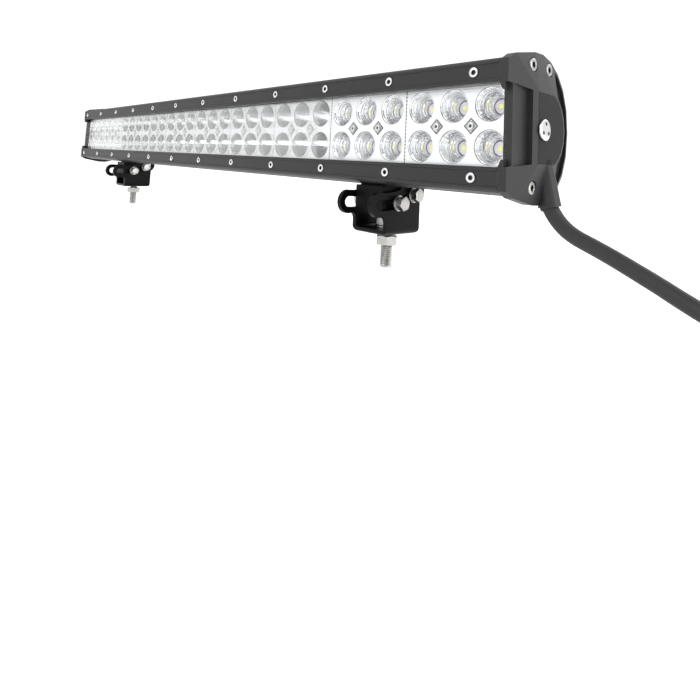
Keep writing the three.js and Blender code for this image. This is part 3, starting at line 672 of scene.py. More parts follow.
class Stock:
    """A mesh in the making, in millimetres about its own origin."""

    def __init__(self) -> None:
        """Starts empty."""
        self.points: list[Vector] = []
        self.faces: list[tuple[int, ...]] = []
        self.slots: list[int] = []

    def add(self, points: Sequence[Vector], faces: Iterable[Sequence[int]], slot: int = 0) -> None:
        """Adds points and the faces between them.

        Args:
            points: the points.
            faces: indexes into those points.
            slot: the material slot of the faces.
        """
        start = len(self.points)
        self.points += [Vector(point) for point in points]
        for face in faces:
            self.faces.append(tuple(start + i for i in face))
            self.slots.append(slot)

    def loft(self, rings: Sequence[Ring], slot: int = 0, caps: bool = True, looped: bool = False) -> None:
        """Joins rings of equal counts one to the next.

        Args:
            rings: the rings, each turning the same way.
            slot: the material slot of the faces.
            caps: whether the first and last ring are closed.
            looped: whether the last ring joins the first.
        """
        count = len(rings[0])
        faces: list[Sequence[int]] = []
        pairs = len(rings) if looped else len(rings) - 1
        for i in range(pairs):
            a, b = i * count, ((i + 1) % len(rings)) * count
            for k in range(count):
                n = (k + 1) % count
                faces.append((a + k, a + n, b + n, b + k))
        if caps and not looped:
            faces.append(tuple(reversed(range(count))))
            faces.append(tuple(range((len(rings) - 1) * count, len(rings) * count)))
        self.add([point for ring in rings for point in ring], faces, slot)

    def build(
        self, name: str, matrix: Matrix, finishes: Sequence[Finish], angle: float = 30.0
    ) -> bpy.types.Object:
        """Makes the object.

        Args:
            name: its name.
            matrix: turns and moves the millimetre mesh into the row frame, in metres.
            finishes: a finish for each material slot.
            angle: edges sharper than this many degrees stay sharp.

        Returns:
            The object.
        """
        mesh = bpy.data.meshes.new(name)
        mesh.from_pydata([matrix @ (point * MM) for point in self.points], [], self.faces)
        for polygon, slot in zip(mesh.polygons, self.slots):
            polygon.material_index = slot
        for finish in finishes:
            mesh.materials.append(finish.material())
        mesh.validate()
        mesh.shade_smooth()
        mesh.set_sharp_from_angle(angle=math.radians(angle))
        made = bpy.data.objects.new(name, mesh)
        bpy.context.scene.collection.objects.link(made)
        return made


def ring(radius: Measure, height: Measure, count: int = 48) -> Ring:
    """A ring about the Z axis.

    Args:
        radius: its radius, or its radius at an angle.
        height: its height, or its height at an angle.
        count: its points.

    Returns:
        The ring.
    """
    points = []
    for k in range(count):
        angle = TURN * k / count
        r = radius(angle) if callable(radius) else radius
        z = height(angle) if callable(height) else height
        points.append(Vector((r * math.cos(angle), r * math.sin(angle), z)))
    return points


def flats(across: float, sides: int = 6) -> Callable[[float], float]:
    """The radius of a regular outline at an angle.

    Args:
        across: its width across two flats.
        sides: how many sides it has.

    Returns:
        A function of the angle.
    """
    part = TURN / sides

    def radius(angle: float) -> float:
        """The outline's radius at an angle."""
        return across / 2 / math.cos((angle % part) - part / 2)

    return radius


def turned(stock: Stock, profile: Sequence[tuple[float, float]], slot: int = 0, count: int = 48) -> None:
    """Adds a turned solid with closed ends, or a ring where the profile closes on itself.

    Args:
        stock: the mesh.
        profile: (radius, height) from the bottom up the outside.
        slot: the material slot.
        count: points round it.
    """
    looped = profile[0] == profile[-1]
    rows = profile[:-1] if looped else profile
    stock.loft([ring(r, z, count) for r, z in rows], slot, looped=looped)


def hexagon_head(stock: Stock, across: float, low: float, high: float, slot: int = 0) -> None:
    """Adds a hexagon head or nut whose outer corners are turned off.

    Args:
        stock: the mesh.
        across: its width across flats.
        low: its under side.
        high: its outer side.
        slot: the material slot.
    """
    outline = flats(across)
    start = across / 2 * CHAMFER_START

    def drop(angle: float) -> float:
        """How far the chamfer has fallen at the outline."""
        return max(0.0, outline(angle) - start) * CHAMFER_SLOPE

    stock.loft([
        ring(start, low),
        ring(outline, lambda angle: low + drop(angle) * 0.4),
        ring(outline, lambda angle: high - drop(angle)),
        ring(start, high),
        ring(start * 0.5, high),
    ], slot)


def socket_head(stock: Stock, radius: float, height: float, key: float, depth: float) -> None:
    """Adds a round socket-head screw's head, with its key hole painted dark as shade.

    Args:
        stock: the mesh.
        radius: the head's radius.
        height: its height above its seat at 0.
        key: the key hole's width across flats.
        depth: the key hole's depth.
    """
    edge = min(0.5, radius * 0.18)
    hole = flats(key)
    stock.loft([
        ring(radius, 0.0),
        ring(radius, height - edge),
        ring(radius - edge * 0.3, height - edge * 0.3),
        ring(radius - edge, height),
        ring(lambda angle: hole(angle) + 0.25, height),
        ring(hole, height - 0.2),
    ], 0, caps=False)
    # The key hole is painted dark as shade.
    stock.loft([
        ring(hole, height - 0.2),
        ring(hole, height - depth),
        ring(0.05, height - depth - 0.1),
    ], 1, caps=False)


def towards(origin: Vector, direction: Vector) -> Matrix:
    """The matrix that puts a mesh's Z axis along a direction.

    Args:
        origin: where the mesh's origin goes, in metres.
        direction: the way that its Z axis points.

    Returns:
        The matrix.
    """
    return Matrix.Translation(origin) @ direction.to_track_quat("Z", "Y").to_matrix().to_4x4()


def extent(node: str) -> tuple[Vector, Vector]:
    """The lowest and highest corners of a CAD node's box, in metres."""
    low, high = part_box(node)
    return Vector(low), Vector(high)


def middle(node: str) -> Vector:
    """The middle of a CAD node's box, in metres."""
    low, high = extent(node)
    return (low + high) / 2


def dress(node: str, finish: Finish, bevel_mm: float = 0.0, angle: float = 30.0) -> None:
    """Gives a CAD node its finish, and softens its edges.

    Args:
        node: the node's name.
        finish: its finish.
        bevel_mm: how far its edges are rounded.
        angle: edges flatter than this many degrees are left alone.
    """
    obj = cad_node(node)
    if not obj.material_slots:
        obj.data.materials.append(None)
    for slot in obj.material_slots:
        slot.link = "OBJECT"
        slot.material = finish.material()
    if bevel_mm:
        bevel = obj.modifiers.new("soft_edges", "BEVEL")
        bevel.width = bevel_mm * MM
        bevel.segments = 2
        bevel.limit_method = "ANGLE"
        bevel.angle_limit = math.radians(angle)
        bevel.harden_normals = True
    LOG.info("dressed %s", node)


FRAME: dict[str, Any] = {}


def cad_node(name: str) -> bpy.types.Object:
    """A CAD node's object."""
    return FRAME["nodes"][name]


def place_piece(piece: bpy.types.Object, body: str, slot: str, *replaced: str) -> None:
    """Hands a finished piece to the frame.

    Args:
        piece: the piece.
        body: the CAD body that it rides on.
        slot: the record's material slot; not used.
        replaced: the CAD nodes that it stands for.
    """
    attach(piece, body)
    if replaced:
        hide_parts(*replaced)
    LOG.info("made %s on %s", piece.name, body)


# ---------------------------------------------------------------- the bar


@dataclass
class Module:
    """One reflector with six cups, its LEDs and its two screws."""

    index: int
    beam: Beam
    columns: int = 3
    rows: int = 2
    row_pitch: float = 22.6
    mouth: float = 9.3
    throat: float = 3.9
    sides: int = 60
    rings: int = 9
    petals: int = 6
    facets: int = 20
    screw_radius: float = 1.9

    def box(self) -> tuple[Vector, Vector]:
        """The reflector's lowest and highest corners, in metres."""
        return extent(f"reflector_{self.index}")

    def angles(self, half: float, down: float, up: float) -> list[float]:
        """Angles round a cup, with one at each corner of its cell.

        Args:
            half: the cell's half width.
            down: from the cup's middle to the cell's lower edge.
            up: and to its upper edge.

        Returns:
            The angles, in order.
        """
        values = [TURN * k / self.sides for k in range(self.sides)]
        corners = [(half, up), (-half, up), (-half, -down), (half, -down)]
        for x, z in corners:
            angle = math.atan2(z, x) % TURN
            nearest = min(range(self.sides), key=lambda k: abs(values[k] - angle))
            values[nearest] = angle
        return values

    def cup_rows(self, depth: float) -> list[tuple[float, float]]:
        """The cup's (radius, depth) rows from its mouth to its throat.

        Args:
            depth: the reflector's depth.

        Returns:
            The rows.
        """
        rows = []
        if self.beam is Beam.SPOT:
            for i in range(self.rings + 1):
                t = i / self.rings
                r = math.sqrt(self.throat**2 + (self.mouth**2 - self.throat**2) * (1 - t))
                rows.append((r, depth * t))
            return rows
        step = (self.mouth - self.throat) / self.rings
        for i in range(self.rings):
            r = self.mouth - i * step
            t = i / self.rings
            rows.append((r, depth * (0.35 * t + 0.65 * t * t)))
            late = (i + 0.78) / self.rings
            rows.append((r - step * 0.55, depth * (0.35 * late + 0.65 * late * late)))
        rows.append((self.throat, depth))
        return rows

    def ripple(self, angle: float, radius: float) -> float:
        """The cup's radius at an angle: petals on a spot, flat facets on a flood.

        Args:
            angle: the angle round the cup.
            radius: the radius of the plain cup.

        Returns:
            The radius.
        """
        if self.beam is Beam.SPOT:
            share = (self.mouth - radius) / (self.mouth - self.throat)
            return radius * (1 - 0.03 * math.sin(math.pi * share) * abs(math.sin(self.petals * angle)))
        part = TURN / self.facets
        return radius * math.cos(part / 2) / math.cos((angle % part) - part / 2)

    def cell(self, stock: Stock, x: float, side: int, half: float, reach: float, depth: float) -> None:
        """Adds one cell of the reflector: its flat face, cup and back.

        Args:
            stock: the mesh, whose Y axis runs back into the lamp.
            x: the cell's middle along the bar.
            side: 1 for the upper row and -1 for the lower.
            half: the cell's half width.
            reach: from the bar's middle to the reflector's edge.
            depth: the reflector's depth.
        """
        z0 = self.row_pitch / 2
        values = self.angles(half, z0, reach - z0)

        def at(radius: float, angle: float, y: float) -> Vector:
            """A point at a radius from the cup's axis."""
            return Vector((x + radius * math.cos(angle), y, side * (z0 + radius * math.sin(angle))))

        def border(angle: float, y: float) -> Vector:
            """A point on the cell's edge."""
            c, s = math.cos(angle), math.sin(angle)
            reaches = [half / abs(c)] if abs(c) > 1e-9 else []
            if abs(s) > 1e-9:
                reaches.append(((reach - z0) if s > 0 else z0) / abs(s))
            return at(min(reaches), angle, y)

        rings_ = [[border(a, 0.0) for a in values], [at(self.mouth + 0.15, a, 0.0) for a in values]]
        for radius, y in self.cup_rows(depth):
            rings_.append([at(self.ripple(a, radius), a, y) for a in values])
        rings_.append([border(a, depth) for a in values])
        if side > 0:
            rings_ = [list(reversed(r)) for r in rings_]
        stock.loft(rings_, 0, looped=True)

    def make_reflector(self) -> None:
        """Builds the reflector and puts it in its node's place."""
        low, high = self.box()
        size = (high - low) / MM
        half = size.x / self.columns / 2
        stock = Stock()
        for column in range(self.columns):
            x = (column - (self.columns - 1) / 2) * 2 * half
            for side in (1, -1):
                self.cell(stock, x, side, half, size.z / 2, size.y)
        place = Matrix.Translation(((low.x + high.x) / 2, low.y, (low.z + high.z) / 2))
        angle = 8.0 if self.beam is Beam.FLOOD else 22.0
        piece = stock.build(f"reflector_shell_{self.index}", place, [MIRRORS[self.beam]], angle)
        place_piece(piece, "lamp", "reflector_chrome", f"reflector_{self.index}")

    @staticmethod
    def square(half: float, height: float) -> Ring:
        """A square ring about the Z axis.

        Args:
            half: its half width.
            height: its height.

        Returns:
            The ring.
        """
        return [Vector((half * a, half * b, height)) for a, b in ((1, 1), (-1, 1), (-1, -1), (1, -1))]

    def make_leds(self) -> None:
        """Builds the six LEDs at the bottoms of the cups."""
        low, high = self.box()
        board_low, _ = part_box("led_board_1")
        pitch = (high.x - low.x) / self.columns / MM
        stock = Stock()
        for column in range(self.columns):
            for row in range(self.rows):
                x = (column - (self.columns - 1) / 2) * pitch
                z = (row - (self.rows - 1) / 2) * self.row_pitch
                part = Stock()
                part.loft([self.square(1.3, 0.0), self.square(1.3, 0.5), self.square(1.15, 0.62)])
                turned(part, [(3.9, -0.5), (3.9, -0.05), (3.6, 0.05), (0.05, 0.05)], 1, 32)
                for slot, face in zip(part.slots, part.faces):
                    shape = [part.points[i] for i in face]
                    stock.add([Vector((x + p.x, -p.z, z + p.y)) for p in shape], [range(len(face))], slot)
        place = Matrix.Translation(((low.x + high.x) / 2, board_low[1] - 0.05 * MM, (low.z + high.z) / 2))
        piece = stock.build(f"leds_{self.index}", place, [PHOSPHOR, LED_DISC])
        place_piece(piece, "lamp", "led_board_white")

    def make_screws(self) -> None:
        """Builds the two screws that hold the reflector, each in its diamond-shaped window."""
        low, high = self.box()
        pitch = (high.x - low.x) / self.columns
        for number, side in enumerate((1, -1), start=1):
            stock = Stock()
            socket_head(stock, self.screw_radius, 1.0, 1.5, 0.6)
            collar = [(2.15, -0.3), (2.75, -0.3), (2.75, 0.3), (2.5, 0.45), (2.15, 0.3), (2.15, -0.3)]
            turned(stock, collar, 2)
            diamond = flats(6.4, 4)
            inner = flats(5.2, 4)
            window = [ring(lambda a: diamond(a) * 0.98, -0.05), ring(diamond, 0.12), ring(inner, 0.12)]
            # The window's edge is painted dark as shade.
            stock.loft(window, 1, False)
            stock.loft([ring(inner, 0.12), ring(2.1, 0.12)], 0, False)
            x = (low.x + high.x) / 2 + side * pitch / 2
            origin = Vector((x, low.y - 0.06 * MM, (low.z + high.z) / 2))
            piece = stock.build(
                f"reflector_screw_{self.index}_{number}", towards(origin, Vector((0, -1, 0))),
                [SCREW_STEEL, HOLE_SHADE_STEEL, STAINLESS],
            )
            place_piece(piece, "lamp", "stainless")

    def make(self) -> None:
        """Builds the whole module."""
        self.make_reflector()
        self.make_leds()
        self.make_screws()


@dataclass
class Front:
    """The bezels with their screws, and the clear lens with its seal."""

    screws: int = 12
    screw_pitch: float = 59.6
    first_screw: float = 15.0
    screw_from_inner_edge: float = 6.1
    seat: float = 2.5
    head_radius: float = 2.7
    head_height: float = 2.65
    key: float = 2.5

    def make_screws(self, bezel: str, up: int) -> None:
        """Builds a bezel's screws.

        Args:
            bezel: the bezel's node.
            up: 1 for the upper bezel and -1 for the lower.
        """
        low, high = extent(bezel)
        inner = low.z if up > 0 else high.z
        for number in range(self.screws):
            x = high.x - (self.first_screw + number * self.screw_pitch) * MM
            origin = Vector((x, low.y + self.seat * MM, inner + up * self.screw_from_inner_edge * MM))
            stock = Stock()
            socket_head(stock, self.head_radius, self.head_height, self.key, 1.6)
            piece = stock.build(
                f"{bezel}_screw_{number + 1}", towards(origin, Vector((0, -1, 0))), [SCREW_STEEL, HOLE_SHADE_STEEL]
            )
            place_piece(piece, "lamp", "stainless")

    def make(self) -> None:
        """Dresses the front and builds its screws."""
        dress("bezel_top", HOUSING_COAT, 0.25)
        dress("bezel_bottom", HOUSING_COAT, 0.25)
        dress("lens", LENS)
        dress("lens_seal", SEAL_RUBBER)
        self.make_screws("bezel_top", 1)
        self.make_screws("bezel_bottom", -1)


@dataclass
class EndCap:
    """An end cap with its seal and screws."""

    side: str
    screws: int = 3
    key: float = 3.2
    key_depth: float = 1.7
    head_height: float = 2.4

    def make(self) -> None:
        """Dresses the cap and builds its screws."""
        dress(f"end_cap_{self.side}", CAP_COAT, 0.45, 20.0)
        dress(f"end_cap_seal_{self.side}", SEAL_RUBBER)
        out = 1 if self.side == "right" else -1
        for number in range(1, self.screws + 1):
            node = f"end_cap_screw_{self.side}_{number}"
            low, high = extent(node)
            centre = (low + high) / 2
            radius = (high.z - low.z) / 2 / MM
            x = high.x if out > 0 else low.x
            stock = Stock()
            socket_head(stock, radius, self.head_height, self.key, self.key_depth)
            turned(stock, [(1.25, -13.8), (1.3, -13.5), (1.3, 0.2)], 0, 24)
            origin = Vector((x - out * self.head_height * MM, centre.y, centre.z))
            piece = stock.build(f"{node}_head", towards(origin, Vector((out, 0, 0))), [STAINLESS, HOLE_SHADE_STEEL])
            place_piece(piece, "lamp", "stainless", node)


@dataclass
class CapFittings:
    """The breather and the cord's gland on the cable end cap, and the driver board inside it."""

    holes: int = 3
    hole_radius: float = 1.0
    hole_circle: float = 3.2

    def make_vent(self) -> None:
        """Builds the breather: a plain domed disc with three holes, painted as dark discs of shade."""
        low, high = extent("breather_vent")
        radius = (high.z - low.z) / 2 / MM
        rise = 1.2
        stock = Stock()
        turned(stock, [
            (3.0, -2.2), (3.0, 0.0), (radius - 0.2, 0.0), (radius, 0.15), (radius, rise * 0.6),
            (radius - 0.15, rise * 0.85), (radius - 0.5, rise), (radius * 0.5, rise + 0.1),
            (0.05, rise + 0.12),
        ])
        # Each hole is painted shade: a dark disc on the dome, not an opening.
        for number in range(self.holes):
            angle = math.radians(90 + 120 * number)
            centre = Vector((self.hole_circle * math.cos(angle), self.hole_circle * math.sin(angle), 0))
            spot = Stock()
            hole = [(self.hole_radius, rise), (self.hole_radius, rise + 0.16), (0.05, rise + 0.17)]
            turned(spot, hole, 1, 20)
            stock.add([point + centre for point in spot.points], spot.faces, 1)
        origin = Vector((high.x - rise * MM, (low.y + high.y) / 2, (low.z + high.z) / 2))
        piece = stock.build("breather_disc", towards(origin, Vector((1, 0, 0))), [SCREW_STEEL, HOLE_SHADE_STEEL])
        place_piece(piece, "lamp", "stainless", "breather_vent")

    def make(self) -> None:
        """Builds the breather, and dresses the gland and the driver board."""
        self.make_vent()
        dress("cord_gland", SEAL_RUBBER, 0.2)
        dress("driver_board", BOARD_GREEN, 0.1)


@dataclass
class Housing:
    """The finned extrusion and the boards inside it."""

    def make(self) -> None:
        """Dresses the housing and boards."""
        dress("housing", HOUSING_COAT, 0.25)
        dress("led_board_1", BOARD_WHITE)
        dress("led_board_2", BOARD_WHITE)


# The cord's middle line from its gland to its plug, in millimetres from the housing's end.
CORD_ROUTE: list[Point] = [
    (6.95, 37, -40.1), (8.8, 37.2, -43.4), (11, 37.7, -46.95), (13.7, 38.4, -50.2), (16.8, 39.2, -53),
    (20.3, 40.2, -55.3), (22.6, 40.9, -56.5), (29.9, 42.6, -59.9), (37.4, 43.6, -63.4), (46.4, 44.1, -67.7),
    (55.9, 44.1, -72.2), (65.9, 43.4, -77), (75.9, 41.8, -81), (86.9, 39.3, -83.7), (99.4, 35.6, -84.5),
    (114.4, 30.8, -84.5), (131.4, 24.6, -84.5), (149.4, 18, -84.5), (167.4, 12.4, -84.5), (185.4, 8.6, -84.5),
    (204.4, 6.8, -84.5), (223.4, 6.6, -84.5),
]
HOUSING_END: Point = (319.25, -27.0, BAR_MIDDLE_Z)


@dataclass
class Lead:
    """The power cord and its two-pin plug."""

    diameter: float = 8.4
    steps: int = 6
    route: list[Point] = field(default_factory=lambda: CORD_ROUTE)

    def line(self) -> list[Vector]:
        """The cord's smooth middle line in the row frame, in metres."""
        origin = Vector(HOUSING_END)
        knots = [(Vector(point) + origin) * MM for point in self.route]
        knots = [knots[0] * 2 - knots[1], *knots, knots[-1] * 2 - knots[-2]]
        points = []
        for i in range(1, len(knots) - 2):
            a, b, c, d = knots[i - 1:i + 3]
            for step in range(self.steps):
                t = step / self.steps
                points.append(0.5 * (
                    2 * b + (c - a) * t + (2 * a - 5 * b + 4 * c - d) * t**2 + (3 * b - a - 3 * c + d) * t**3
                ))
        return [*points, knots[-2]]

    def make_cord(self, line: list[Vector]) -> bpy.types.Object:
        """Builds the cord as a curve.

        Args:
            line: its middle line.

        Returns:
            The cord.
        """
        curve = bpy.data.curves.new("lead_cord", "CURVE")
        curve.dimensions = "3D"
        spline = curve.splines.new("POLY")
        spline.points.add(len(line) - 1)
        for point, place in zip(spline.points, line):
            point.co = (*place, 1.0)
        spline.use_smooth = True
        curve.bevel_depth = self.diameter / 2 * MM
        curve.bevel_resolution = 8
        curve.use_fill_caps = True
        curve.materials.append(CORD_JACKET.material())
        cord = bpy.data.objects.new("lead_cord", curve)
        bpy.context.scene.collection.objects.link(cord)
        place_piece(cord, "lamp", "cord_jacket", "power_cord")
        return cord

    def make_plug(self, end: Vector, along: Vector) -> bpy.types.Object:
        """Builds the plug: a ribbed collar and a flat body with two round sockets.

        Args:
            end: the cord's end, in metres.
            along: the way that the cord runs there.

        Returns:
            The plug.
        """
        stock = Stock()
        collar = [(3.0, 0.3), (4.0, 0.6)]
        for i in range(5):
            z = 1.4 + i * 2.0
            collar += [(4.05, z), (4.1, z + 0.2), (3.6, z + 0.5), (3.6, z + 1.3), (4.1, z + 1.6)]
        collar += [(4.1, 12.2), (3.0, 12.4)]
        turned(stock, collar, 0, 40)

        def slab(width: float, height: float, z: float, shift: float = 0.0) -> Ring:
            """A rounded rectangle across the plug."""
            count = 48
            points = []
            for k in range(count):
                angle = TURN * k / count
                c, s = math.cos(angle), math.sin(angle)
                x = math.copysign(abs(c) ** 0.28, c) * width / 2
                y = math.copysign(abs(s) ** 0.28, s) * height / 2 + shift
                points.append(Vector((x, y, z)))
            return points

        stock.loft([
            slab(9.0, 7.4, 11.0), slab(13.6, 7.9, 12.2), slab(14.8, 8.1, 13.4), slab(15.0, 8.2, 16.0),
            slab(15.0, 8.2, 30.0), slab(14.2, 7.6, 30.4), slab(14.2, 7.6, 41.0), slab(13.6, 7.0, 41.8),
            slab(11.0, 4.6, 41.8), slab(10.8, 4.4, 36.0),
        ])
        for side in (-1, 1):
            pin = Stock()
            turned(pin, [(1.5, 35.5), (1.5, 40.2), (1.2, 40.6), (0.05, 40.8)], 1, 24)
            stock.add([point + Vector((side * 3.2, 0, 0)) for point in pin.points], pin.faces, 1)
        flat = along.cross(Vector((0, 0, 1))).normalized()
        up = flat.cross(along).normalized()
        turn = Matrix((flat, up, along)).transposed().to_4x4()
        plug = stock.build("lead_plug", Matrix.Translation(end) @ turn, [PLUG_PLASTIC, STAINLESS])
        place_piece(plug, "lamp", "plug_plastic", "power_plug")
        return plug

    def make(self) -> None:
        line = self.line()
        length = sum((b - a).length for a, b in zip(line, line[1:]))
        cord = self.make_cord(line)
        plug = self.make_plug(line[-1], (line[-1] - line[-2]).normalized())
        LOG.info("cord of %.0f mm", length / MM)


# ---------------------------------------------------------------- the feet


@dataclass
class Foot:
    """One bent bracket with its block, tilt bolts, stud, washer and nut."""

    side: str
    bolts: int = 2
    bolt_radius: float = 2.5
    bolt_across: float = 8.0
    bolt_head: float = 3.5
    flat_washer: float = 1.0
    spring: float = 1.2
    thread_pitch: float = 1.25
    rows_per_turn: int = 6
    stud_radius: float = 4.0
    stud_across: float = 13.0
    stud_head: float = 5.3

    def make_tilt_bolt(self, face: str, number: int) -> None:
        """Builds a tilt bolt with its spring washer and flat washer.

        Args:
            face: outer or inner.
            number: 1 or 2.
        """
        node = f"tilt_bolt_{self.side}_{face}_{number}"
        low, high = extent(node)
        out = 1 if middle(node).x > middle(f"bracket_{self.side}").x else -1
        centre = (low + high) / 2
        length = (high.x - low.x) / MM
        head_low = self.flat_washer + self.spring
        head_top = head_low + self.bolt_head
        x = (high.x if out > 0 else low.x) - out * head_top * MM
        stock = Stock()
        turned(stock, [(self.bolt_radius, head_top - length), (self.bolt_radius, 0.1)], 0, 32)
        turned(stock, [(4.9, 0.0), (5.0, 0.12), (5.0, 0.88), (4.9, 1.0)])
        self.spring_washer(stock, self.flat_washer, head_low)
        hexagon_head(stock, self.bolt_across, head_low, head_top)
        origin = Vector((x, centre.y, centre.z))
        spin = Matrix.Rotation(math.radians(17 * number), 4, "Z")
        piece = stock.build(f"{node}_set", towards(origin, Vector((out, 0, 0))) @ spin, [STAINLESS])
        place_piece(piece, f"foot_{self.side}", "stainless", node)

    @staticmethod
    def spring_washer(stock: Stock, low: float, high: float) -> None:
        """Adds a split spring washer.

        Args:
            stock: the mesh.
            low: its under side.
            high: its outer side.
        """
        count = 44
        section = [(2.7, low + 0.05), (4.2, low + 0.05), (4.2, high - 0.05), (2.7, high - 0.05)]
        rings_ = []
        for k in range(count + 1):
            angle = 0.12 + (TURN - 0.24) * k / count
            rings_.append([Vector((r * math.cos(angle), r * math.sin(angle), z)) for r, z in section])
        stock.loft([list(reversed(r)) for r in rings_])

    def make_stud(self) -> None:
        """Builds the stud bolt with its rolled thread."""
        node = f"stud_bolt_{self.side}"
        low, high = extent(node)
        bottom = low.z / MM
        top = high.z / MM
        head_low = top - self.stud_head
        stock = Stock()
        rows = [ring(self.stud_radius - 0.9, bottom, 32)]
        steps = int((head_low - bottom) * self.rows_per_turn / self.thread_pitch)
        for i in range(1, steps):
            z = bottom + (head_low - bottom) * i / steps
            rows.append(ring(self.thread(z, bottom), z, 32))
        stock.loft(rows)
        hexagon_head(stock, self.stud_across, head_low, top)
        centre = middle(node)
        piece = stock.build(f"{node}_threaded", Matrix.Translation((centre.x, centre.y, 0)), [STAINLESS])
        place_piece(piece, f"bracket_{self.side}", "stainless", node)

    def thread(self, z: float, bottom: float) -> Callable[[float], float]:
        """The thread's radius at a height.

        Args:
            z: the height.
            bottom: the height of the stud's end.

        Returns:
            A function of the angle.
        """
        start = min(1.0, (z - bottom) / 0.8)

        def radius(angle: float) -> float:
            """The radius at an angle."""
            phase = (z / self.thread_pitch - angle / TURN) % 1.0
            return self.stud_radius - 0.6 * abs(2 * phase - 1) - 0.5 * (1 - start)

        return radius

    def make_nut(self) -> None:
        """Builds the stud's nut."""
        node = f"stud_nut_{self.side}"
        low, high = extent(node)
        centre = middle(node)
        outline = flats(self.stud_across)
        start = self.stud_across / 2 * CHAMFER_START
        bore = self.stud_radius + 0.15
        z0, z1 = low.z / MM, high.z / MM
        stock = Stock()
        stock.loft([
            ring(start, z0),
            ring(outline, lambda a: z0 + max(0.0, outline(a) - start) * CHAMFER_SLOPE),
            ring(outline, lambda a: z1 - max(0.0, outline(a) - start) * CHAMFER_SLOPE),
            ring(start, z1),
            ring(bore + 0.25, z1),
            ring(bore, z1 - 0.4),
            ring(bore, z0 + 0.4),
            ring(bore + 0.25, z0),
        ], looped=True)
        spin = Matrix.Rotation(math.radians(11), 4, "Z")
        place = Matrix.Translation((centre.x, centre.y, 0)) @ spin
        piece = stock.build(f"{node}_faced", place, [STAINLESS])
        place_piece(piece, f"bracket_{self.side}", "stainless", node)

    def make(self) -> None:
        """Dresses the bracket and block, and builds the fasteners."""
        dress(f"bracket_{self.side}", BRACKET_PAINT, 0.35)
        dress(f"foot_block_{self.side}", BLOCK_COAT, 0.35)
        dress(f"stud_washer_{self.side}", STAINLESS, 0.1)
        for face in ("outer", "inner"):
            for number in range(1, self.bolts + 1):
                self.make_tilt_bolt(face, number)
        self.make_stud()
        self.make_nut()


# ---------------------------------------------------------------- the studio


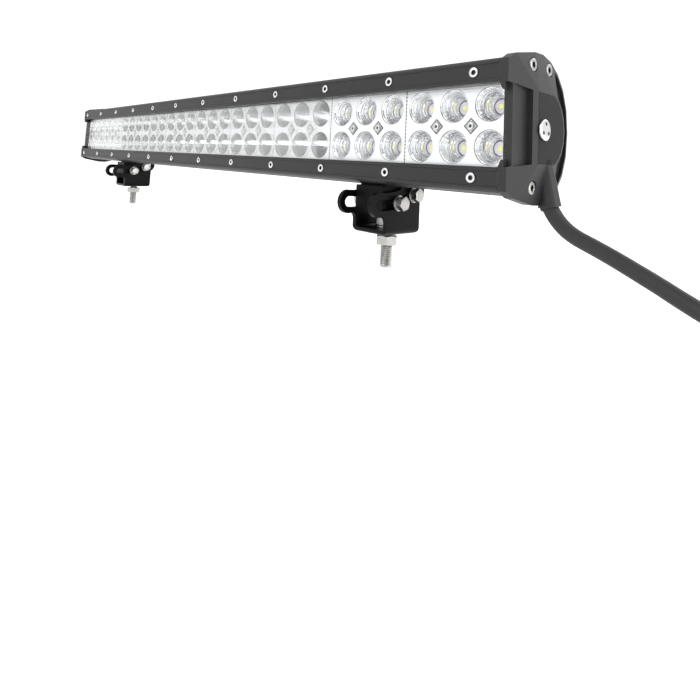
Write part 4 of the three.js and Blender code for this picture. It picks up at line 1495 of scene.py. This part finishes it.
@dataclass
class Studio:
    """The camera, soft lights, pale floor and bright surroundings."""

    eye: Point = (444.83, -250.29, 43.78)
    azimuth: float = 46.516
    elevation: float = 5.118
    roll: float = 2.946
    lens_mm: float = 25.585
    shift_y: float = -0.3306
    floor_gap: float = 0.0004

    def make_camera(self) -> None:
        """Sets up the camera."""
        camera = bpy.data.cameras.new("camera")
        camera.sensor_width = 36.0
        camera.lens = self.lens_mm
        camera.shift_y = self.shift_y
        camera.clip_start = 0.005
        camera.clip_end = 50.0
        az, el, roll = (math.radians(a) for a in (self.azimuth, self.elevation, self.roll))
        ahead = Vector((-math.sin(az) * math.cos(el), math.cos(az) * math.cos(el), math.sin(el)))
        level = Vector((math.cos(az), math.sin(az), 0.0))
        rise = level.cross(ahead)
        right = level * math.cos(roll) + rise * math.sin(roll)
        up = rise * math.cos(roll) - level * math.sin(roll)
        turn = Matrix((right, up, -ahead)).transposed().to_4x4()
        obj = bpy.data.objects.new("camera", camera)
        obj.matrix_world = Matrix.Translation(Vector(self.eye) * MM) @ turn
        bpy.context.scene.collection.objects.link(obj)
        bpy.context.scene.camera = obj

    @staticmethod
    def make_floor(height: float) -> None:
        """Lays the pale floor.

        Args:
            height: its height in metres.
        """
        half = 12.0
        mesh = bpy.data.meshes.new("floor")
        corners = [(-half, -half, height), (half, -half, height), (half, half, height), (-half, half, height)]
        mesh.from_pydata(corners, [], [(0, 1, 2, 3)])
        paint = bpy.data.materials.new("floor")
        graph = Graph(paint)
        tone = graph.mix(graph.noise(2.0), (0.93, 0.93, 0.93), (0.96, 0.96, 0.96))
        graph.surface({
            "Base Color": tone, "Roughness": 0.9, "Specular IOR Level": 0.0,
            "Emission Color": (1.0, 1.0, 1.0, 1.0), "Emission Strength": 0.3,
        })
        mesh.materials.append(paint)
        floor = bpy.data.objects.new("floor", mesh)
        bpy.context.scene.collection.objects.link(floor)
        floor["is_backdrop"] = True

    @staticmethod
    def make_light(name: str, place: Point, target: Point, size: tuple[float, float], watts: float) -> None:
        """Adds one soft light.

        Args:
            name: its name.
            place: where it stands, in metres.
            target: the point that it faces.
            size: its width and height.
            watts: its power.
        """
        light = bpy.data.lights.new(name, "AREA")
        light.shape = "RECTANGLE"
        light.size, light.size_y = size
        light.energy = watts
        obj = bpy.data.objects.new(name, light)
        way = Vector(target) - Vector(place)
        obj.matrix_world = Matrix.Translation(place) @ way.to_track_quat("-Z", "Y").to_matrix().to_4x4()
        obj.visible_camera = False
        bpy.context.scene.collection.objects.link(obj)

    @staticmethod
    def make_surroundings() -> None:
        """Sets a world that is white to the camera, and a little darker low down in what it lights."""
        world = bpy.data.worlds.new("studio")
        bpy.context.scene.world = world
        graph = Graph(world)
        way = graph.node("ShaderNodeTexCoord", {}, {}, "Generated")
        height = graph.split(way, 2)
        greys = [(0.0, 0.7), (0.45, 0.78), (0.5, 0.88), (1.0, 0.9)]
        stops = [(place, (grey, grey, grey)) for place, grey in greys]
        tone = graph.node("ShaderNodeValToRGB", {"stops": stops}, {0: height * 0.5 + 0.5})
        seen = graph.node("ShaderNodeLightPath", {}, {}, "Is Camera Ray")
        color = graph.mix(seen, tone, (1.0, 1.0, 1.0))
        sky = graph.node("ShaderNodeBackground", {}, {"Color": color, "Strength": 1.15})
        graph.node("ShaderNodeOutputWorld", {}, {"Surface": sky})

    def make(self) -> None:
        """Sets up the lights, floor and surroundings."""
        view = bpy.context.scene.view_settings
        view.view_transform = "Standard"
        view.look = "None"
        self.make_floor(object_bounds()[0][2] - self.floor_gap)
        self.make_surroundings()
        self.make_light("key", (-0.3, -1.6, 1.3), (0.1, 0.0, 0.05), (1.6, 1.0), 12.0)
        self.make_light("side", (1.7, 0.35, 0.35), (0.3, 0.0, 0.06), (0.6, 0.9), 9.0)
        self.make_light("back", (0.4, 1.4, 1.0), (0.2, 0.0, 0.06), (1.4, 0.8), 6.0)


def main() -> None:
    """Builds the light bar over its frame, in order."""
    logging.basicConfig(level=logging.INFO, format="%(message)s")
    for old in list(bpy.data.objects):
        if old.type in {"CAMERA", "LIGHT"}:
            bpy.data.objects.remove(old)
    FRAME.update(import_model())
    studio = Studio()
    studio.make_camera()
    Lead().make()
    Housing().make()
    Front().make()
    for index in range(1, MODULES + 1):
        beam = Beam.FLOOD if index in FLOOD_MODULES else Beam.SPOT
        Module(index, beam).make()
    EndCap("right").make()
    EndCap("left").make()
    CapFittings().make()
    Foot("right").make()
    Foot("left").make()
    studio.make()


if __name__ == "__main__":
    main()
